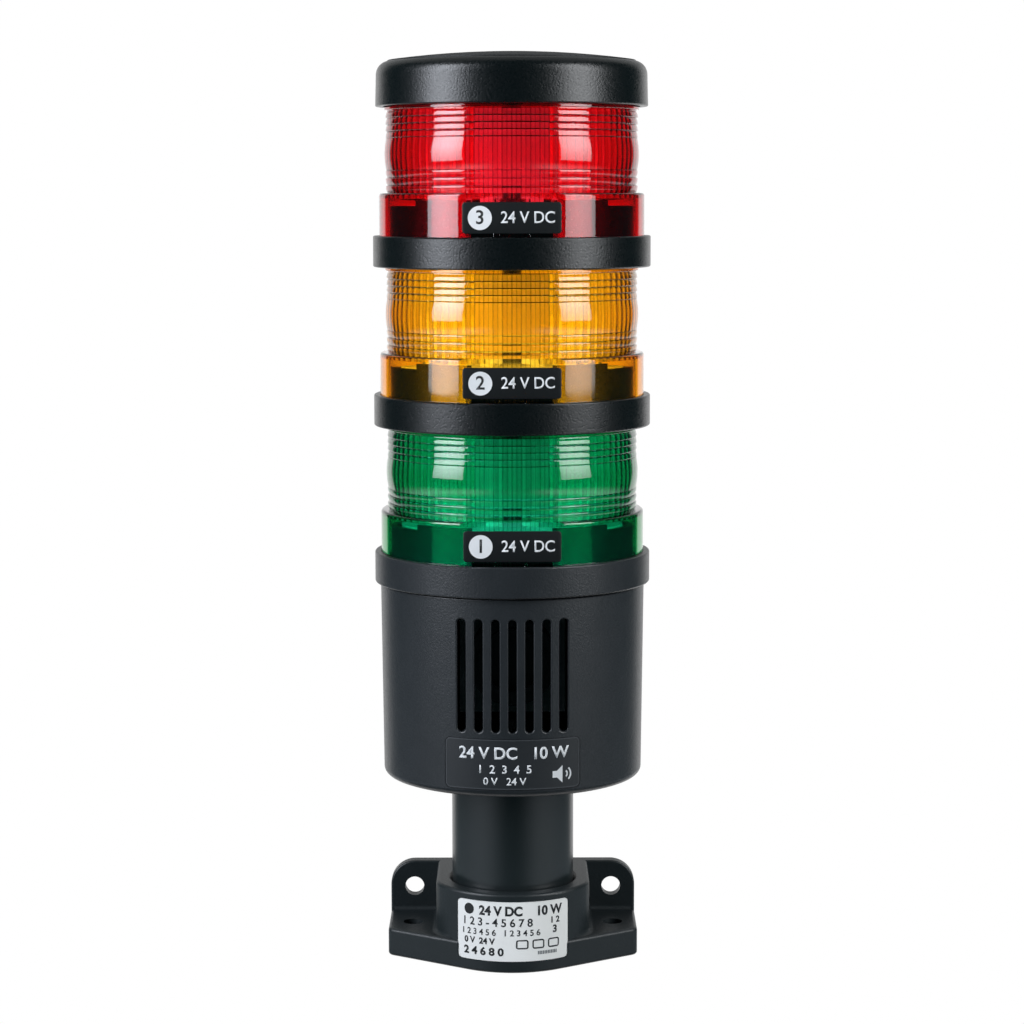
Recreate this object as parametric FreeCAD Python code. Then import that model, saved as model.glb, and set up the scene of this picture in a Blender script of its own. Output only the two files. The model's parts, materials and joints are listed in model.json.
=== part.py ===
import FreeCAD, Part
import math
import os

# A signal beacon tower: an L-shaped foot, a tube, a sounder housing, three twist-lock light modules
# and a cap. Millimetres, +Z up. The origin is on the tower's axis, on the plane that the foot stands
# on. The front faces -Y.

Vector = FreeCAD.Vector
AXIS = Vector(0, 0, 1)
BACKWARD = Vector(0, 1, 0)
ORIGIN = Vector(0, 0, 0)

# Margin within which an edge counts as lying at a height or a depth
TOLERANCE = 0.01

# Tube
TUBE_DIAMETER = 31.3
TUBE_WALL = 2.3
TUBE_SHOWN = 27.9
TUBE_GRIP = 14.0
TUBE_FIT = 0.08

# Foot bracket
BRACKET_WIDTH = 64.5
BRACKET_HEIGHT = 20.5
BRACKET_FLOOR = 4.0
BOSS_FRONT_WALL = 3.85
BOSS_SIDE_WALL = 4.1
BOSS_REAR_WALL = 3.35
BOSS_FRONT_EASE = 1.4
BOSS_EDGE_RADIUS = 0.8
BOSS_CORNER_RADIUS = 9.0
ROOT_RADIUS = 1.2
MOUTH_CHAMFER = 0.8
EAR_THICKNESS = 3.4
EAR_CORNER_RADIUS = 6.4
EAR_EDGE_RADIUS = 0.5
EAR_HOLE = 5.0
EAR_HOLE_HEIGHT = 13.7
FOOT_THICKNESS = 7.2
FOOT_CORNER_FORWARD = 2.5
FOOT_CORNER_RADIUS = 2.4
FOOT_EDGE_RADIUS = 0.8
FOOT_HOLE = 5.2
FOOT_HOLE_BACK = 4.0
HOLE_FROM_EDGE = 6.25
CABLE_HOLE_STEP = 2.2
SET_SCREW = 4.0
SET_SCREW_HEIGHT = 12.0
SET_SCREW_SUNK = 0.2
SCREW_FIT = 0.05

# Rating label on the boss
RATING_WIDTH = 27.9
RATING_HEIGHT = 15.4
RATING_BOTTOM = 3.1
RATING_CORNER_RADIUS = 1.1
LABEL_RECESS = 0.35
LABEL_THICKNESS = 0.25
LABEL_GAP = 0.1

# Twist-lock joint between two tiers
STACK_GAP = 0.3
NECK_STEP = 1.6
NECK_WALL = 1.8
LUG_COUNT = 4
LUG_REACH = 1.5
LUG_THICKNESS = 1.2
LUG_HALF_ANGLE = 9.0
LUG_LIP = 0.25
LEDGE_THICKNESS = 1.3
BAYONET_AXIAL_GAP = 0.15
BAYONET_RADIAL_GAP = 0.4
STOP_ANGLE = 4.0
STOP_GAP_ANGLE = 1.0
TWIST_ANGLE = 22.0
TWIST_SPARE_ANGLE = 1.0
SEAL_THICKNESS = 1.2
SEAL_GAP = 0.1
FUSE_DEPTH = 0.4

# Coupling ring, the black foot of each light module
RING_DIAMETER = 70.0
RING_HEIGHT = 7.8
RING_EDGE_RADIUS = 0.4
DECK_THICKNESS = 1.6
SPIGOT_WALL = 1.5
SPIGOT_GAP = 0.2
SPIGOT_DROP = 1.7
SIDE_NOTCH_DEPTH = 1.4
SIDE_NOTCH_HALF_ANGLE = 42.5
POST_COUNT = 3
POST_RADIUS = 2.6
POST_INSET = 5.6

# Lens: a smooth collar below, a ribbed wall with a plain barrel above, flutes inside
COLLAR_STEP = 1.6
COLLAR_WALL = 2.5
COLLAR_FIT = 0.1
COLLAR_SHOWN = 10.65
COLLAR_EDGE_RADIUS = 0.7
LENS_STEP = 1.7
LENS_WALL = 1.7
LENS_SHOULDER = 1.3
LENS_TOP_WEB = 0.9
LOWER_RIBS = 3
LOWER_RIB_HEIGHT = 1.9
UPPER_RIBS = 4
UPPER_RIB_HEIGHT = 1.675
RIB_DEPTH = 0.4
BARREL_HEIGHT = 7.8
BARREL_STEP = 0.12
BARREL_BULGE = 0.42
NECK_GROOVE_HEIGHT = 0.35
NECK_BAND_HEIGHT = 0.6
NECK_BAND_PROUD = 0.3
FLUTE_COUNT = 84
FLUTE_DEPTH = 0.6

# Label plate on the collar's flat
NAME_WIDTH = 24.0
NAME_HEIGHT = 7.6
NAME_THICKNESS = 0.7
NAME_LIFT = 0.9
NAME_CORNER_RADIUS = 0.8
NAME_FOOT_WIDTH = 0.6
NAME_FOOT_SPACING = 7.3
FLAT_MARGIN = 0.45
FLAT_SUNK = 0.4
FLAT_WALL = 1.6
WINDOW_GAP = 0.4

# Light unit inside each module
BOARD_THICKNESS = 1.6
BOARD_GAP = 1.2
BOARD_STANDOFF = 8.2
SMALL_SCREW = 2.8
SMALL_SCREW_DEPTH = 7.0
SCREW_HEAD = 5.2
SCREW_HEAD_HEIGHT = 1.6
SCREW_PASSAGE = 0.3
LED_COUNT = 8
LED_WIDTH = 3.2
LED_HEIGHT = 1.9
LED_CIRCLE = 30.0
STEM_RADIUS = 2.4
STEM_RISE = 1.6
STEM_FOOT_REACH = 1.2
STEM_FOOT_THICKNESS = 1.2
STEM_SHOULDER_REACH = 1.0
STEM_SHOULDER_THICKNESS = 0.9
STEM_FIT = 0.05
PIN_RADIUS = 1.2
PIN_GAP = 0.1
PIN_REACH = 4.1
SOCKET_SPARE = 0.5
PLUG_RADIUS = 2.0
PLUG_BELOW_DECK = 0.6
PLUG_FLANGE_REACH = 1.4
PLUG_FLANGE_THICKNESS = 1.0
DIFFUSER_RADIUS = 10.2
DIFFUSER_WALL = 1.2
DIFFUSER_HEIGHT = 15.2
DIFFUSER_LIFT = 5.5

# Top cap
CAP_INSET = 0.8
CAP_DRAFT = 0.2
CAP_SIDE = 7.85
CAP_CORNER_RADIUS = 3.4
CAP_STEP = 0.2
CAP_DOME_RISE = 2.1
CAP_EDGE_RADIUS = 0.35
CAP_SEAT_WIDTH = 2.5
CAP_CAVITY = 6.0

# Sounder housing
HOUSING_HEIGHT = 49.45
HOUSING_WALL = 2.4
HOUSING_FLOOR = 2.6
HOUSING_DRAFT = 0.6
HOUSING_CORNER_RADIUS = 1.8
HOUSING_EDGE_RADIUS = 0.3
RING_OVERHANG = 1.4
SLEEVE_WALL = 2.2
WEB_THICKNESS = 2.4
SLOT_COUNT = 7
SLOT_PITCH = 4.17
SLOT_WIDTH = 2.05
SLOT_FROM_TOP = 5.0
SLOT_TO_PLATE = 1.55
SLOT_EDGE_RADIUS = 0.35
SLOT_PAST_WALL = 1.0
FRONT_PLATE_WIDTH = 33.2
FRONT_PLATE_HEIGHT = 12.7
FRONT_PLATE_BOTTOM = 2.0
FRONT_PLATE_CORNER_RADIUS = 1.3
SHELF_REACH = 1.4
SHELF_THICKNESS = 1.5
GASKET_THICKNESS = 1.0
TOP_PLATE_THICKNESS = 2.2
TOP_PLATE_SUNK = 1.0
TOP_PLATE_FIT = 0.2
PLATE_SCREW_INSET = 3.2
PLATE_SCREW_ANGLES = (90.0, 230.0, 310.0)
BOSS_POST_RADIUS = 3.2
BOSS_RIB_THICKNESS = 1.6
PLATE_SCREW_DEPTH = 10.0

# Tube end plug
END_PLUG_LENGTH = 10.0
END_PLUG_CABLE_HOLE = 12.0
TUBE_SCREW_SPACING = 19.0

# Control board, sounder and terminals
CONTROL_WIDTH = 44.0
CONTROL_THICKNESS = 1.6
CONTROL_FORWARD = 12.0
CONTROL_LIFT = 1.2
CONTROL_TOP_GAP = 0.4
GUIDE_WALL = 1.5
GUIDE_OVERLAP = 1.3
GUIDE_GAP = 0.1
GUIDE_TOP_DROP = 4.0
SOUNDER_RADIUS = 11.0
SOUNDER_DEPTH = 8.0
SOUNDER_WALL = 1.2
SOUNDER_LIP_RADIUS = 8.5
SOUNDER_LIP_WALL = 1.2
SOUNDER_LIP_HEIGHT = 1.2
DIAPHRAGM_THICKNESS = 0.4
DIAPHRAGM_DEPTH = 3.6
DIAPHRAGM_SEAT = 0.8
DIAPHRAGM_FIT = 0.1
TERMINAL_WAYS = 4
TERMINAL_PITCH = 5.0
TERMINAL_HEIGHT = 9.0
TERMINAL_DEPTH = 7.5
TERMINAL_LIFT = 5.0
TERMINAL_WIRE_HOLE = 2.6
TERMINAL_SCREW = 2.4
TERMINAL_SCREW_DEPTH = 2.5
TERMINAL_SCREW_SUNK = 0.4

# Radii that follow from the sizes above
TUBE_RADIUS = TUBE_DIAMETER / 2
TUBE_BORE_RADIUS = TUBE_RADIUS - TUBE_WALL
CABLE_HOLE_RADIUS = TUBE_BORE_RADIUS - CABLE_HOLE_STEP
SOCKET_RADIUS = TUBE_RADIUS + TUBE_FIT
BACK_Y = TUBE_RADIUS + BOSS_REAR_WALL
BOSS_HALF = TUBE_RADIUS + BOSS_SIDE_WALL
BOSS_FRONT_Y = -(TUBE_RADIUS + BOSS_FRONT_WALL)
BOSS_ARC_RADIUS = BOSS_HALF + BOSS_FRONT_EASE
BOSS_ARC_Y = BOSS_FRONT_Y + BOSS_ARC_RADIUS
HOLE_X = BRACKET_WIDTH / 2 - HOLE_FROM_EDGE

RING_RADIUS = RING_DIAMETER / 2
COLLAR_RADIUS = RING_RADIUS - COLLAR_STEP
COLLAR_BORE = COLLAR_RADIUS - COLLAR_WALL
CREST_RADIUS = COLLAR_RADIUS - LENS_STEP
GROOVE_RADIUS = CREST_RADIUS - RIB_DEPTH
BARREL_RADIUS = CREST_RADIUS - BARREL_STEP
FLUTE_RADIUS = CREST_RADIUS - LENS_WALL
NECK_BAND_RADIUS = CREST_RADIUS + NECK_BAND_PROUD
NECK_RADIUS = NECK_BAND_RADIUS - NECK_STEP
NECK_BORE = NECK_RADIUS - NECK_WALL
LUG_RADIUS = NECK_RADIUS + LUG_REACH
SKIRT_BORE = LUG_RADIUS + BAYONET_RADIAL_GAP
LEDGE_BORE = NECK_RADIUS + BAYONET_RADIAL_GAP
SPIGOT_RADIUS = COLLAR_BORE - SPIGOT_GAP
SPIGOT_BORE = SPIGOT_RADIUS - SPIGOT_WALL
LED_BOARD_RADIUS = SPIGOT_BORE - BOARD_GAP
POST_CIRCLE = LED_BOARD_RADIUS - POST_INSET
FLAT_HALF = NAME_WIDTH / 2 + FLAT_MARGIN
FLAT_Y = -math.sqrt(COLLAR_RADIUS**2 - FLAT_HALF**2)
PAD_Y = FLAT_Y + FLAT_WALL
PIN_SOCKET_RADIUS = PIN_RADIUS + PIN_GAP
SCREW_RADIUS = SMALL_SCREW / 2
SCREW_HOLE_RADIUS = SCREW_RADIUS + SCREW_FIT
SCREW_PASSAGE_RADIUS = SCREW_RADIUS + SCREW_PASSAGE
HOUSING_TOP_RADIUS = RING_RADIUS - RING_OVERHANG
HOUSING_BOTTOM_RADIUS = HOUSING_TOP_RADIUS - HOUSING_DRAFT
SLEEVE_RADIUS = SOCKET_RADIUS + SLEEVE_WALL
TOP_PLATE_RADIUS = HOUSING_TOP_RADIUS - HOUSING_WALL - TOP_PLATE_FIT
PLATE_SCREW_CIRCLE = NECK_BORE - PLATE_SCREW_INSET

# Heights within a module, from the underside of its ring
LUG_BOTTOM = LEDGE_THICKNESS + BAYONET_AXIAL_GAP
LUG_TOP = LUG_BOTTOM + LUG_THICKNESS
NECK_TOP = LUG_TOP + LUG_LIP
DECK_BOTTOM = NECK_TOP + SEAL_GAP + SEAL_THICKNESS
DECK_TOP = DECK_BOTTOM + DECK_THICKNESS
COLLAR_TOP = RING_HEIGHT + COLLAR_SHOWN
SPIGOT_TOP = COLLAR_TOP - SPIGOT_DROP
BARREL_BOTTOM = COLLAR_TOP + LOWER_RIBS * LOWER_RIB_HEIGHT
BARREL_TOP = BARREL_BOTTOM + BARREL_HEIGHT
NECK_BAND_BOTTOM = BARREL_TOP + UPPER_RIBS * UPPER_RIB_HEIGHT + NECK_GROOVE_HEIGHT
NECK_BAND_TOP = NECK_BAND_BOTTOM + NECK_BAND_HEIGHT
MODULE_PITCH = NECK_BAND_TOP + STACK_GAP
BOARD_BOTTOM = DECK_TOP + BOARD_STANDOFF
BOARD_TOP = BOARD_BOTTOM + BOARD_THICKNESS
STEM_TOP = MODULE_PITCH + STEM_RISE
DIFFUSER_BOTTOM = BOARD_TOP + DIFFUSER_LIFT
PIN_BOTTOM = STEM_RISE - PIN_REACH
PIN_SOCKET_DEPTH = PIN_REACH + SOCKET_SPARE

# Heights in the tower
HOUSING_BOTTOM = BRACKET_HEIGHT + TUBE_SHOWN
HOUSING_TOP = HOUSING_BOTTOM + HOUSING_HEIGHT
TUBE_TOP = HOUSING_BOTTOM + TUBE_GRIP
WEB_TOP = TUBE_TOP + WEB_THICKNESS
STACK_BOTTOM = HOUSING_TOP + STACK_GAP
TOP_PLATE_TOP = HOUSING_TOP - TOP_PLATE_SUNK
TOP_PLATE_BOTTOM = TOP_PLATE_TOP - TOP_PLATE_THICKNESS
SHELF_TOP = TOP_PLATE_BOTTOM - GASKET_THICKNESS
CONTROL_BOTTOM = WEB_TOP + CONTROL_LIFT
CONTROL_TOP = TOP_PLATE_BOTTOM - CONTROL_TOP_GAP
CONTROL_FRONT_Y = -CONTROL_FORWARD
CONTROL_BACK_Y = CONTROL_FRONT_Y + CONTROL_THICKNESS
SLOT_TOP = HOUSING_TOP - SLOT_FROM_TOP
SLOT_BOTTOM = HOUSING_BOTTOM + FRONT_PLATE_BOTTOM + FRONT_PLATE_HEIGHT + SLOT_TO_PLATE
SLOT_REACH = ((SLOT_COUNT - 1) * SLOT_PITCH + SLOT_WIDTH) / 2
SOUNDER_HEIGHT = (CONTROL_BOTTOM + CONTROL_TOP) / 2
TIERS = ("green", "amber", "red")


def section_plane(radius, height):
    """A point of a profile that is turned about the tower's axis."""
    return Vector(radius, 0, height)


def plan_plane(x, y):
    """A point of an outline seen from above."""
    return Vector(x, y, 0)


def front_plane(x, z):
    """A point of an outline seen from the front."""
    return Vector(x, 0, z)


def outline(plane, *steps):
    """A flat face. Each step is the next corner, or the middle and end of an arc."""
    corners = [step[-1] if isinstance(step[0], tuple) else step for step in steps]
    edges = []
    for before, step, corner in zip(corners[-1:] + corners[:-1], steps, corners):
        if isinstance(step[0], tuple):
            edges.append(Part.Arc(plane(*before), plane(*step[0]), plane(*corner)).toShape())
        else:
            edges.append(Part.LineSegment(plane(*before), plane(*corner)).toShape())
    return Part.Face(Part.Wire(edges))


def turned(*steps):
    """A profile of radii and heights, turned all the way round the tower's axis."""
    return outline(section_plane, *steps).revolve(ORIGIN, AXIS, 360)


def upper_edge(radius, top, edge):
    """Steps that round the outer edge at the top of a turned profile."""
    bow = edge * (1 - math.sqrt(0.5))
    return [(radius, top - edge), ((radius - bow, top - bow), (radius - edge, top))]


def lower_edge(radius, bottom, edge):
    """Steps that round the outer edge at the bottom of a turned profile."""
    bow = edge * (1 - math.sqrt(0.5))
    return [(radius - edge, bottom), ((radius - bow, bottom + bow), (radius, bottom + edge))]


def ring(bore, radius, bottom, top):
    return turned((bore, bottom), (radius, bottom), (radius, top), (bore, top))


def rod(radius, bottom, top, x=0.0, y=0.0):
    return Part.makeCylinder(radius, top - bottom, Vector(x, y, bottom), AXIS)


def rod_along_y(radius, front, back, x, z):
    return Part.makeCylinder(radius, back - front, Vector(x, front, z), BACKWARD)


def block(x_range, y_range, z_range):
    size = [high - low for low, high in (x_range, y_range, z_range)]
    return Part.makeBox(*size, Vector(x_range[0], y_range[0], z_range[0]))


def sector(bore, radius, bottom, top, start, end):
    """Part of a ring, from one angle to another, anticlockwise from +X."""
    face = outline(section_plane, (bore, bottom), (radius, bottom), (radius, top), (bore, top))
    face.rotate(ORIGIN, AXIS, start)
    return face.revolve(ORIGIN, AXIS, end - start)


def polar(radius, degrees):
    angle = math.radians(degrees)
    return radius * math.cos(angle), radius * math.sin(angle)


def rounded_panel(width, height, bottom, corner, front, back):
    """A panel with round corners, seen from the front, standing between two depths."""
    half, top = width / 2, bottom + height
    bow = corner * (1 - math.sqrt(0.5))
    face = outline(
        front_plane,
        (half - corner, bottom),
        ((half - bow, bottom + bow), (half, bottom + corner)),
        (half, top - corner),
        ((half - bow, top - bow), (half - corner, top)),
        (corner - half, top),
        ((bow - half, top - bow), (-half, top - corner)),
        (-half, bottom + corner),
        ((bow - half, bottom + bow), (corner - half, bottom)),
    )
    face.translate(Vector(0, front, 0))
    return face.extrude(Vector(0, back - front, 0))


def lug_angles():
    return [(index + 0.5) * 360 / LUG_COUNT for index in range(LUG_COUNT)]


def post_places():
    """Plan positions of the posts and screws that carry an LED board."""
    return [polar(POST_CIRCLE, 90 + index * 360 / POST_COUNT) for index in range(POST_COUNT)]


def plate_screw_places():
    return [polar(PLATE_SCREW_CIRCLE, angle) for angle in PLATE_SCREW_ANGLES]


def screw(place, seat, depth, radius=SCREW_RADIUS):
    """A pan-head screw that goes down from a seat."""
    shank = rod(radius, seat - depth, seat, *place)
    head = rod(SCREW_HEAD / 2, seat, seat + SCREW_HEAD_HEIGHT, *place)
    return shank.fuse(head).removeSplitter()


def bayonet_lugs(base):
    """Lugs on a neck, at the height where the ring above hooks under them."""
    return [
        sector(NECK_RADIUS - FUSE_DEPTH, LUG_RADIUS, base + LUG_BOTTOM, base + LUG_TOP,
               angle - LUG_HALF_ANGLE, angle + LUG_HALF_ANGLE)
        for angle in lug_angles()
    ]


def bayonet_ledges():
    """Ledges inside a skirt, each with an end stop that the lug meets when the twist is home."""
    pieces = []
    stop_start = LUG_HALF_ANGLE + STOP_GAP_ANGLE
    stop_end = stop_start + STOP_ANGLE
    ledge_start = LUG_HALF_ANGLE + TWIST_SPARE_ANGLE - TWIST_ANGLE
    for angle in lug_angles():
        for top, start in ((LEDGE_THICKNESS, ledge_start), (LUG_TOP, stop_start)):
            pieces.append(
                sector(LEDGE_BORE, SKIRT_BORE + FUSE_DEPTH, 0, top, angle + start, angle + stop_end)
            )
    return pieces


# Foot and tube

def foot_outline():
    """The foot seen from above: square at the back, drawn in by two tangents to the boss's front arc."""
    half = BRACKET_WIDTH / 2
    corner_y = -FOOT_CORNER_FORWARD
    reach = math.hypot(half, corner_y - BOSS_ARC_Y)
    angle = math.atan2(corner_y - BOSS_ARC_Y, half) - math.acos(BOSS_ARC_RADIUS / reach)
    touch_x = BOSS_ARC_RADIUS * math.cos(angle)
    touch_y = BOSS_ARC_Y + BOSS_ARC_RADIUS * math.sin(angle)
    return outline(
        plan_plane,
        (-half, BACK_Y),
        (-half, corner_y),
        (-touch_x, touch_y),
        ((0, BOSS_FRONT_Y), (touch_x, touch_y)),
        (half, corner_y),
        (half, BACK_Y),
    )


def boss_prism():
    """The boss with rounded front corners, before its upper edge is rounded."""
    side_y = BOSS_ARC_Y - math.sqrt(BOSS_ARC_RADIUS**2 - BOSS_HALF**2)
    face = outline(
        plan_plane,
        (-BOSS_HALF, BACK_Y),
        (-BOSS_HALF, side_y),
        ((0, BOSS_FRONT_Y), (BOSS_HALF, side_y)),
        (BOSS_HALF, BACK_Y),
    )
    boss = face.extrude(AXIS * BRACKET_HEIGHT)
    corners = [
        edge for edge in boss.Edges
        if edge.BoundBox.ZLength > BRACKET_HEIGHT / 2 and edge.BoundBox.YMax < BACK_Y / 2
    ]
    return boss.makeFillet(BOSS_CORNER_RADIUS, corners)


def boss_solid():
    boss = boss_prism()
    rim = [
        edge for edge in boss.Edges
        if edge.BoundBox.ZMin > BRACKET_HEIGHT / 2 and edge.BoundBox.YMin < BACK_Y / 2
    ]
    return boss.makeFillet(BOSS_EDGE_RADIUS, rim)


def ear_solid():
    half = BRACKET_WIDTH / 2
    bow = EAR_CORNER_RADIUS * (1 - math.sqrt(0.5))
    face = outline(
        front_plane,
        (-half, 0),
        (half, 0),
        (half, BRACKET_HEIGHT - EAR_CORNER_RADIUS),
        ((half - bow, BRACKET_HEIGHT - bow), (half - EAR_CORNER_RADIUS, BRACKET_HEIGHT)),
        (EAR_CORNER_RADIUS - half, BRACKET_HEIGHT),
        ((bow - half, BRACKET_HEIGHT - bow), (-half, BRACKET_HEIGHT - EAR_CORNER_RADIUS)),
    )
    front = BACK_Y - EAR_THICKNESS
    face.translate(Vector(0, front, 0))
    ear = face.extrude(Vector(0, EAR_THICKNESS, 0))
    rim = [
        edge for edge in ear.Edges
        if edge.BoundBox.YMax < front + TOLERANCE and edge.BoundBox.ZMax > TOLERANCE
    ]
    return ear.makeFillet(EAR_EDGE_RADIUS, rim)


def foot_solid():
    foot = foot_outline().extrude(AXIS * FOOT_THICKNESS)
    corners = [
        edge for edge in foot.Edges
        if edge.BoundBox.ZLength > FOOT_THICKNESS / 2
        and abs(edge.BoundBox.YMax + FOOT_CORNER_FORWARD) < TOLERANCE
    ]
    foot = foot.makeFillet(FOOT_CORNER_RADIUS, corners)
    rim = [
        edge for edge in foot.Edges
        if edge.BoundBox.ZMin > FOOT_THICKNESS - TOLERANCE and edge.BoundBox.YMin < BACK_Y - TOLERANCE
    ]
    return foot.makeFillet(FOOT_EDGE_RADIUS, rim)


def root_cove(foot):
    """The cove where the boss and the ears rise from the foot, as far as the foot's flat top reaches."""
    reach = (-BRACKET_WIDTH, BRACKET_WIDTH)
    plate = block(reach, (-BRACKET_WIDTH, BACK_Y), (0, FOOT_THICKNESS))
    wall = block(reach, (BACK_Y - EAR_THICKNESS, BACK_Y), (0, BRACKET_HEIGHT))
    raised = plate.fuse([boss_prism(), wall]).removeSplitter()
    roots = [
        edge for edge in raised.Edges
        if abs(edge.BoundBox.ZMin - FOOT_THICKNESS) < TOLERANCE
        and abs(edge.BoundBox.ZMax - FOOT_THICKNESS) < TOLERANCE
        and edge.BoundBox.YMin > BOSS_FRONT_Y - TOLERANCE
    ]
    flat_top = max(foot.Faces, key=lambda face: face.BoundBox.ZMin)
    return raised.makeFillet(ROOT_RADIUS, roots).common(flat_top.extrude(AXIS * ROOT_RADIUS))


def rating_skin(inner_offset, outer_offset, grow):
    """A curved patch on the boss's front arc, between two offsets from it."""
    patch = rounded_panel(RATING_WIDTH + 2 * grow, RATING_HEIGHT + 2 * grow, RATING_BOTTOM - grow,
                          RATING_CORNER_RADIUS + grow, BOSS_FRONT_Y - BOSS_EDGE_RADIUS, BOSS_ARC_Y)
    outer = rod(BOSS_ARC_RADIUS + outer_offset, 0, BRACKET_HEIGHT, 0, BOSS_ARC_Y)
    inner = rod(BOSS_ARC_RADIUS + inner_offset, 0, BRACKET_HEIGHT, 0, BOSS_ARC_Y)
    return patch.common(outer.cut(inner))


def mounting_bracket():
    foot = foot_solid()
    body = foot.fuse([boss_solid(), ear_solid(), root_cove(foot)]).removeSplitter()
    sole = [
        edge for edge in body.Edges
        if edge.BoundBox.ZMax < TOLERANCE and edge.BoundBox.YMin < BACK_Y - TOLERANCE
    ]
    body = body.makeFillet(FOOT_EDGE_RADIUS, sole)
    mouth = BRACKET_HEIGHT - MOUTH_CHAMFER
    cuts = [
        rod(CABLE_HOLE_RADIUS, 0, BRACKET_FLOOR),
        rod(SOCKET_RADIUS, BRACKET_FLOOR, BRACKET_HEIGHT),
        Part.makeCone(SOCKET_RADIUS, SOCKET_RADIUS + MOUTH_CHAMFER, MOUTH_CHAMFER,
                      Vector(0, 0, mouth), AXIS),
        rod_along_y(SET_SCREW / 2 + SCREW_FIT, 0, BACK_Y, 0, SET_SCREW_HEIGHT),
        rating_skin(-LABEL_RECESS, BOSS_EDGE_RADIUS, LABEL_GAP),
    ]
    ear_front = BACK_Y - EAR_THICKNESS
    for x in (-HOLE_X, HOLE_X):
        cuts.append(rod_along_y(EAR_HOLE / 2, ear_front, BACK_Y, x, EAR_HOLE_HEIGHT))
        cuts.append(rod(FOOT_HOLE / 2, 0, FOOT_THICKNESS, x, FOOT_HOLE_BACK))
    return body.cut(cuts)


def rating_label():
    return rating_skin(-LABEL_RECESS, LABEL_THICKNESS - LABEL_RECESS, 0)


def tube_set_screw():
    return rod_along_y(SET_SCREW / 2, TUBE_RADIUS + TUBE_FIT, BACK_Y - SET_SCREW_SUNK, 0, SET_SCREW_HEIGHT)


def pole_tube():
    return ring(TUBE_BORE_RADIUS, TUBE_RADIUS, BRACKET_FLOOR, TUBE_TOP)


def tube_screw_places():
    return [(side * TUBE_SCREW_SPACING / 2, 0) for side in (-1, 1)]


def tube_end_plug():
    bottom = TUBE_TOP - END_PLUG_LENGTH
    plug = ring(END_PLUG_CABLE_HOLE / 2, TUBE_BORE_RADIUS - TUBE_FIT, bottom, TUBE_TOP)
    return plug.cut([rod(SCREW_HOLE_RADIUS, bottom, TUBE_TOP, *place) for place in tube_screw_places()])


def tube_screws():
    depth = WEB_THICKNESS + SMALL_SCREW_DEPTH
    return Part.makeCompound([screw(place, WEB_TOP, depth) for place in tube_screw_places()])


# Sounder housing

def housing_radius(height):
    """Outer radius of the drafted housing wall."""
    share = (height - HOUSING_BOTTOM) / HOUSING_HEIGHT
    return HOUSING_BOTTOM_RADIUS + HOUSING_DRAFT * share


def housing_shell():
    floor = HOUSING_BOTTOM + HOUSING_FLOOR
    bow = HOUSING_CORNER_RADIUS * (1 - math.sqrt(0.5))
    side = HOUSING_BOTTOM + HOUSING_CORNER_RADIUS
    return turned(
        (SOCKET_RADIUS, HOUSING_BOTTOM),
        (HOUSING_BOTTOM_RADIUS - HOUSING_CORNER_RADIUS, HOUSING_BOTTOM),
        ((HOUSING_BOTTOM_RADIUS - bow, HOUSING_BOTTOM + bow), (housing_radius(side), side)),
        *upper_edge(HOUSING_TOP_RADIUS, HOUSING_TOP, HOUSING_EDGE_RADIUS),
        (HOUSING_TOP_RADIUS - HOUSING_WALL, HOUSING_TOP),
        (housing_radius(SHELF_TOP) - HOUSING_WALL, SHELF_TOP),
        (TOP_PLATE_RADIUS - SHELF_REACH, SHELF_TOP),
        (TOP_PLATE_RADIUS - SHELF_REACH, SHELF_TOP - SHELF_THICKNESS),
        (housing_radius(SHELF_TOP - SHELF_THICKNESS) - HOUSING_WALL, SHELF_TOP - SHELF_THICKNESS),
        (housing_radius(floor) - HOUSING_WALL, floor),
        (SLEEVE_RADIUS, floor),
        (SLEEVE_RADIUS, WEB_TOP),
        (END_PLUG_CABLE_HOLE / 2, WEB_TOP),
        (END_PLUG_CABLE_HOLE / 2, TUBE_TOP),
        (SOCKET_RADIUS, TUBE_TOP),
    )


def inner_wall(bottom, top):
    """What lies inside the middle of the housing's wall, so that an inner rib ends in the wall."""
    return turned(
        (0, bottom),
        (housing_radius(bottom) - HOUSING_WALL / 2, bottom),
        (housing_radius(top) - HOUSING_WALL / 2, top),
        (0, top),
    )


def screw_posts():
    """Posts for the top plate's screws, each tied to the wall by a rib."""
    floor = HOUSING_BOTTOM + HOUSING_FLOOR / 2
    posts = []
    for angle, place in zip(PLATE_SCREW_ANGLES, plate_screw_places()):
        half = BOSS_RIB_THICKNESS / 2
        rib = block((PLATE_SCREW_CIRCLE, HOUSING_TOP_RADIUS), (-half, half), (floor, SHELF_TOP))
        rib.rotate(ORIGIN, AXIS, angle)
        posts.append(rib.common(inner_wall(floor, SHELF_TOP)))
        posts.append(rod(BOSS_POST_RADIUS, floor, TOP_PLATE_BOTTOM, *place))
    return posts


def board_guides():
    """A grooved upright at each side, which the control board slides down into."""
    floor = HOUSING_BOTTOM + HOUSING_FLOOR / 2
    top = CONTROL_TOP - GUIDE_TOP_DROP
    inner_x = CONTROL_WIDTH / 2 - GUIDE_OVERLAP
    front = CONTROL_FRONT_Y - GUIDE_GAP
    back = CONTROL_BACK_Y + GUIDE_GAP
    guides = []
    for side in (-1, 1):
        x_range = sorted((side * inner_x, side * HOUSING_TOP_RADIUS))
        upright = block(x_range, (front - GUIDE_WALL, back + GUIDE_WALL), (floor, top))
        groove_x = sorted((side * inner_x, side * (CONTROL_WIDTH / 2 + GUIDE_GAP)))
        groove = block(groove_x, (front, back), (CONTROL_BOTTOM, top))
        guides.append(upright.common(inner_wall(floor, top)).cut(groove))
    return guides


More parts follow.
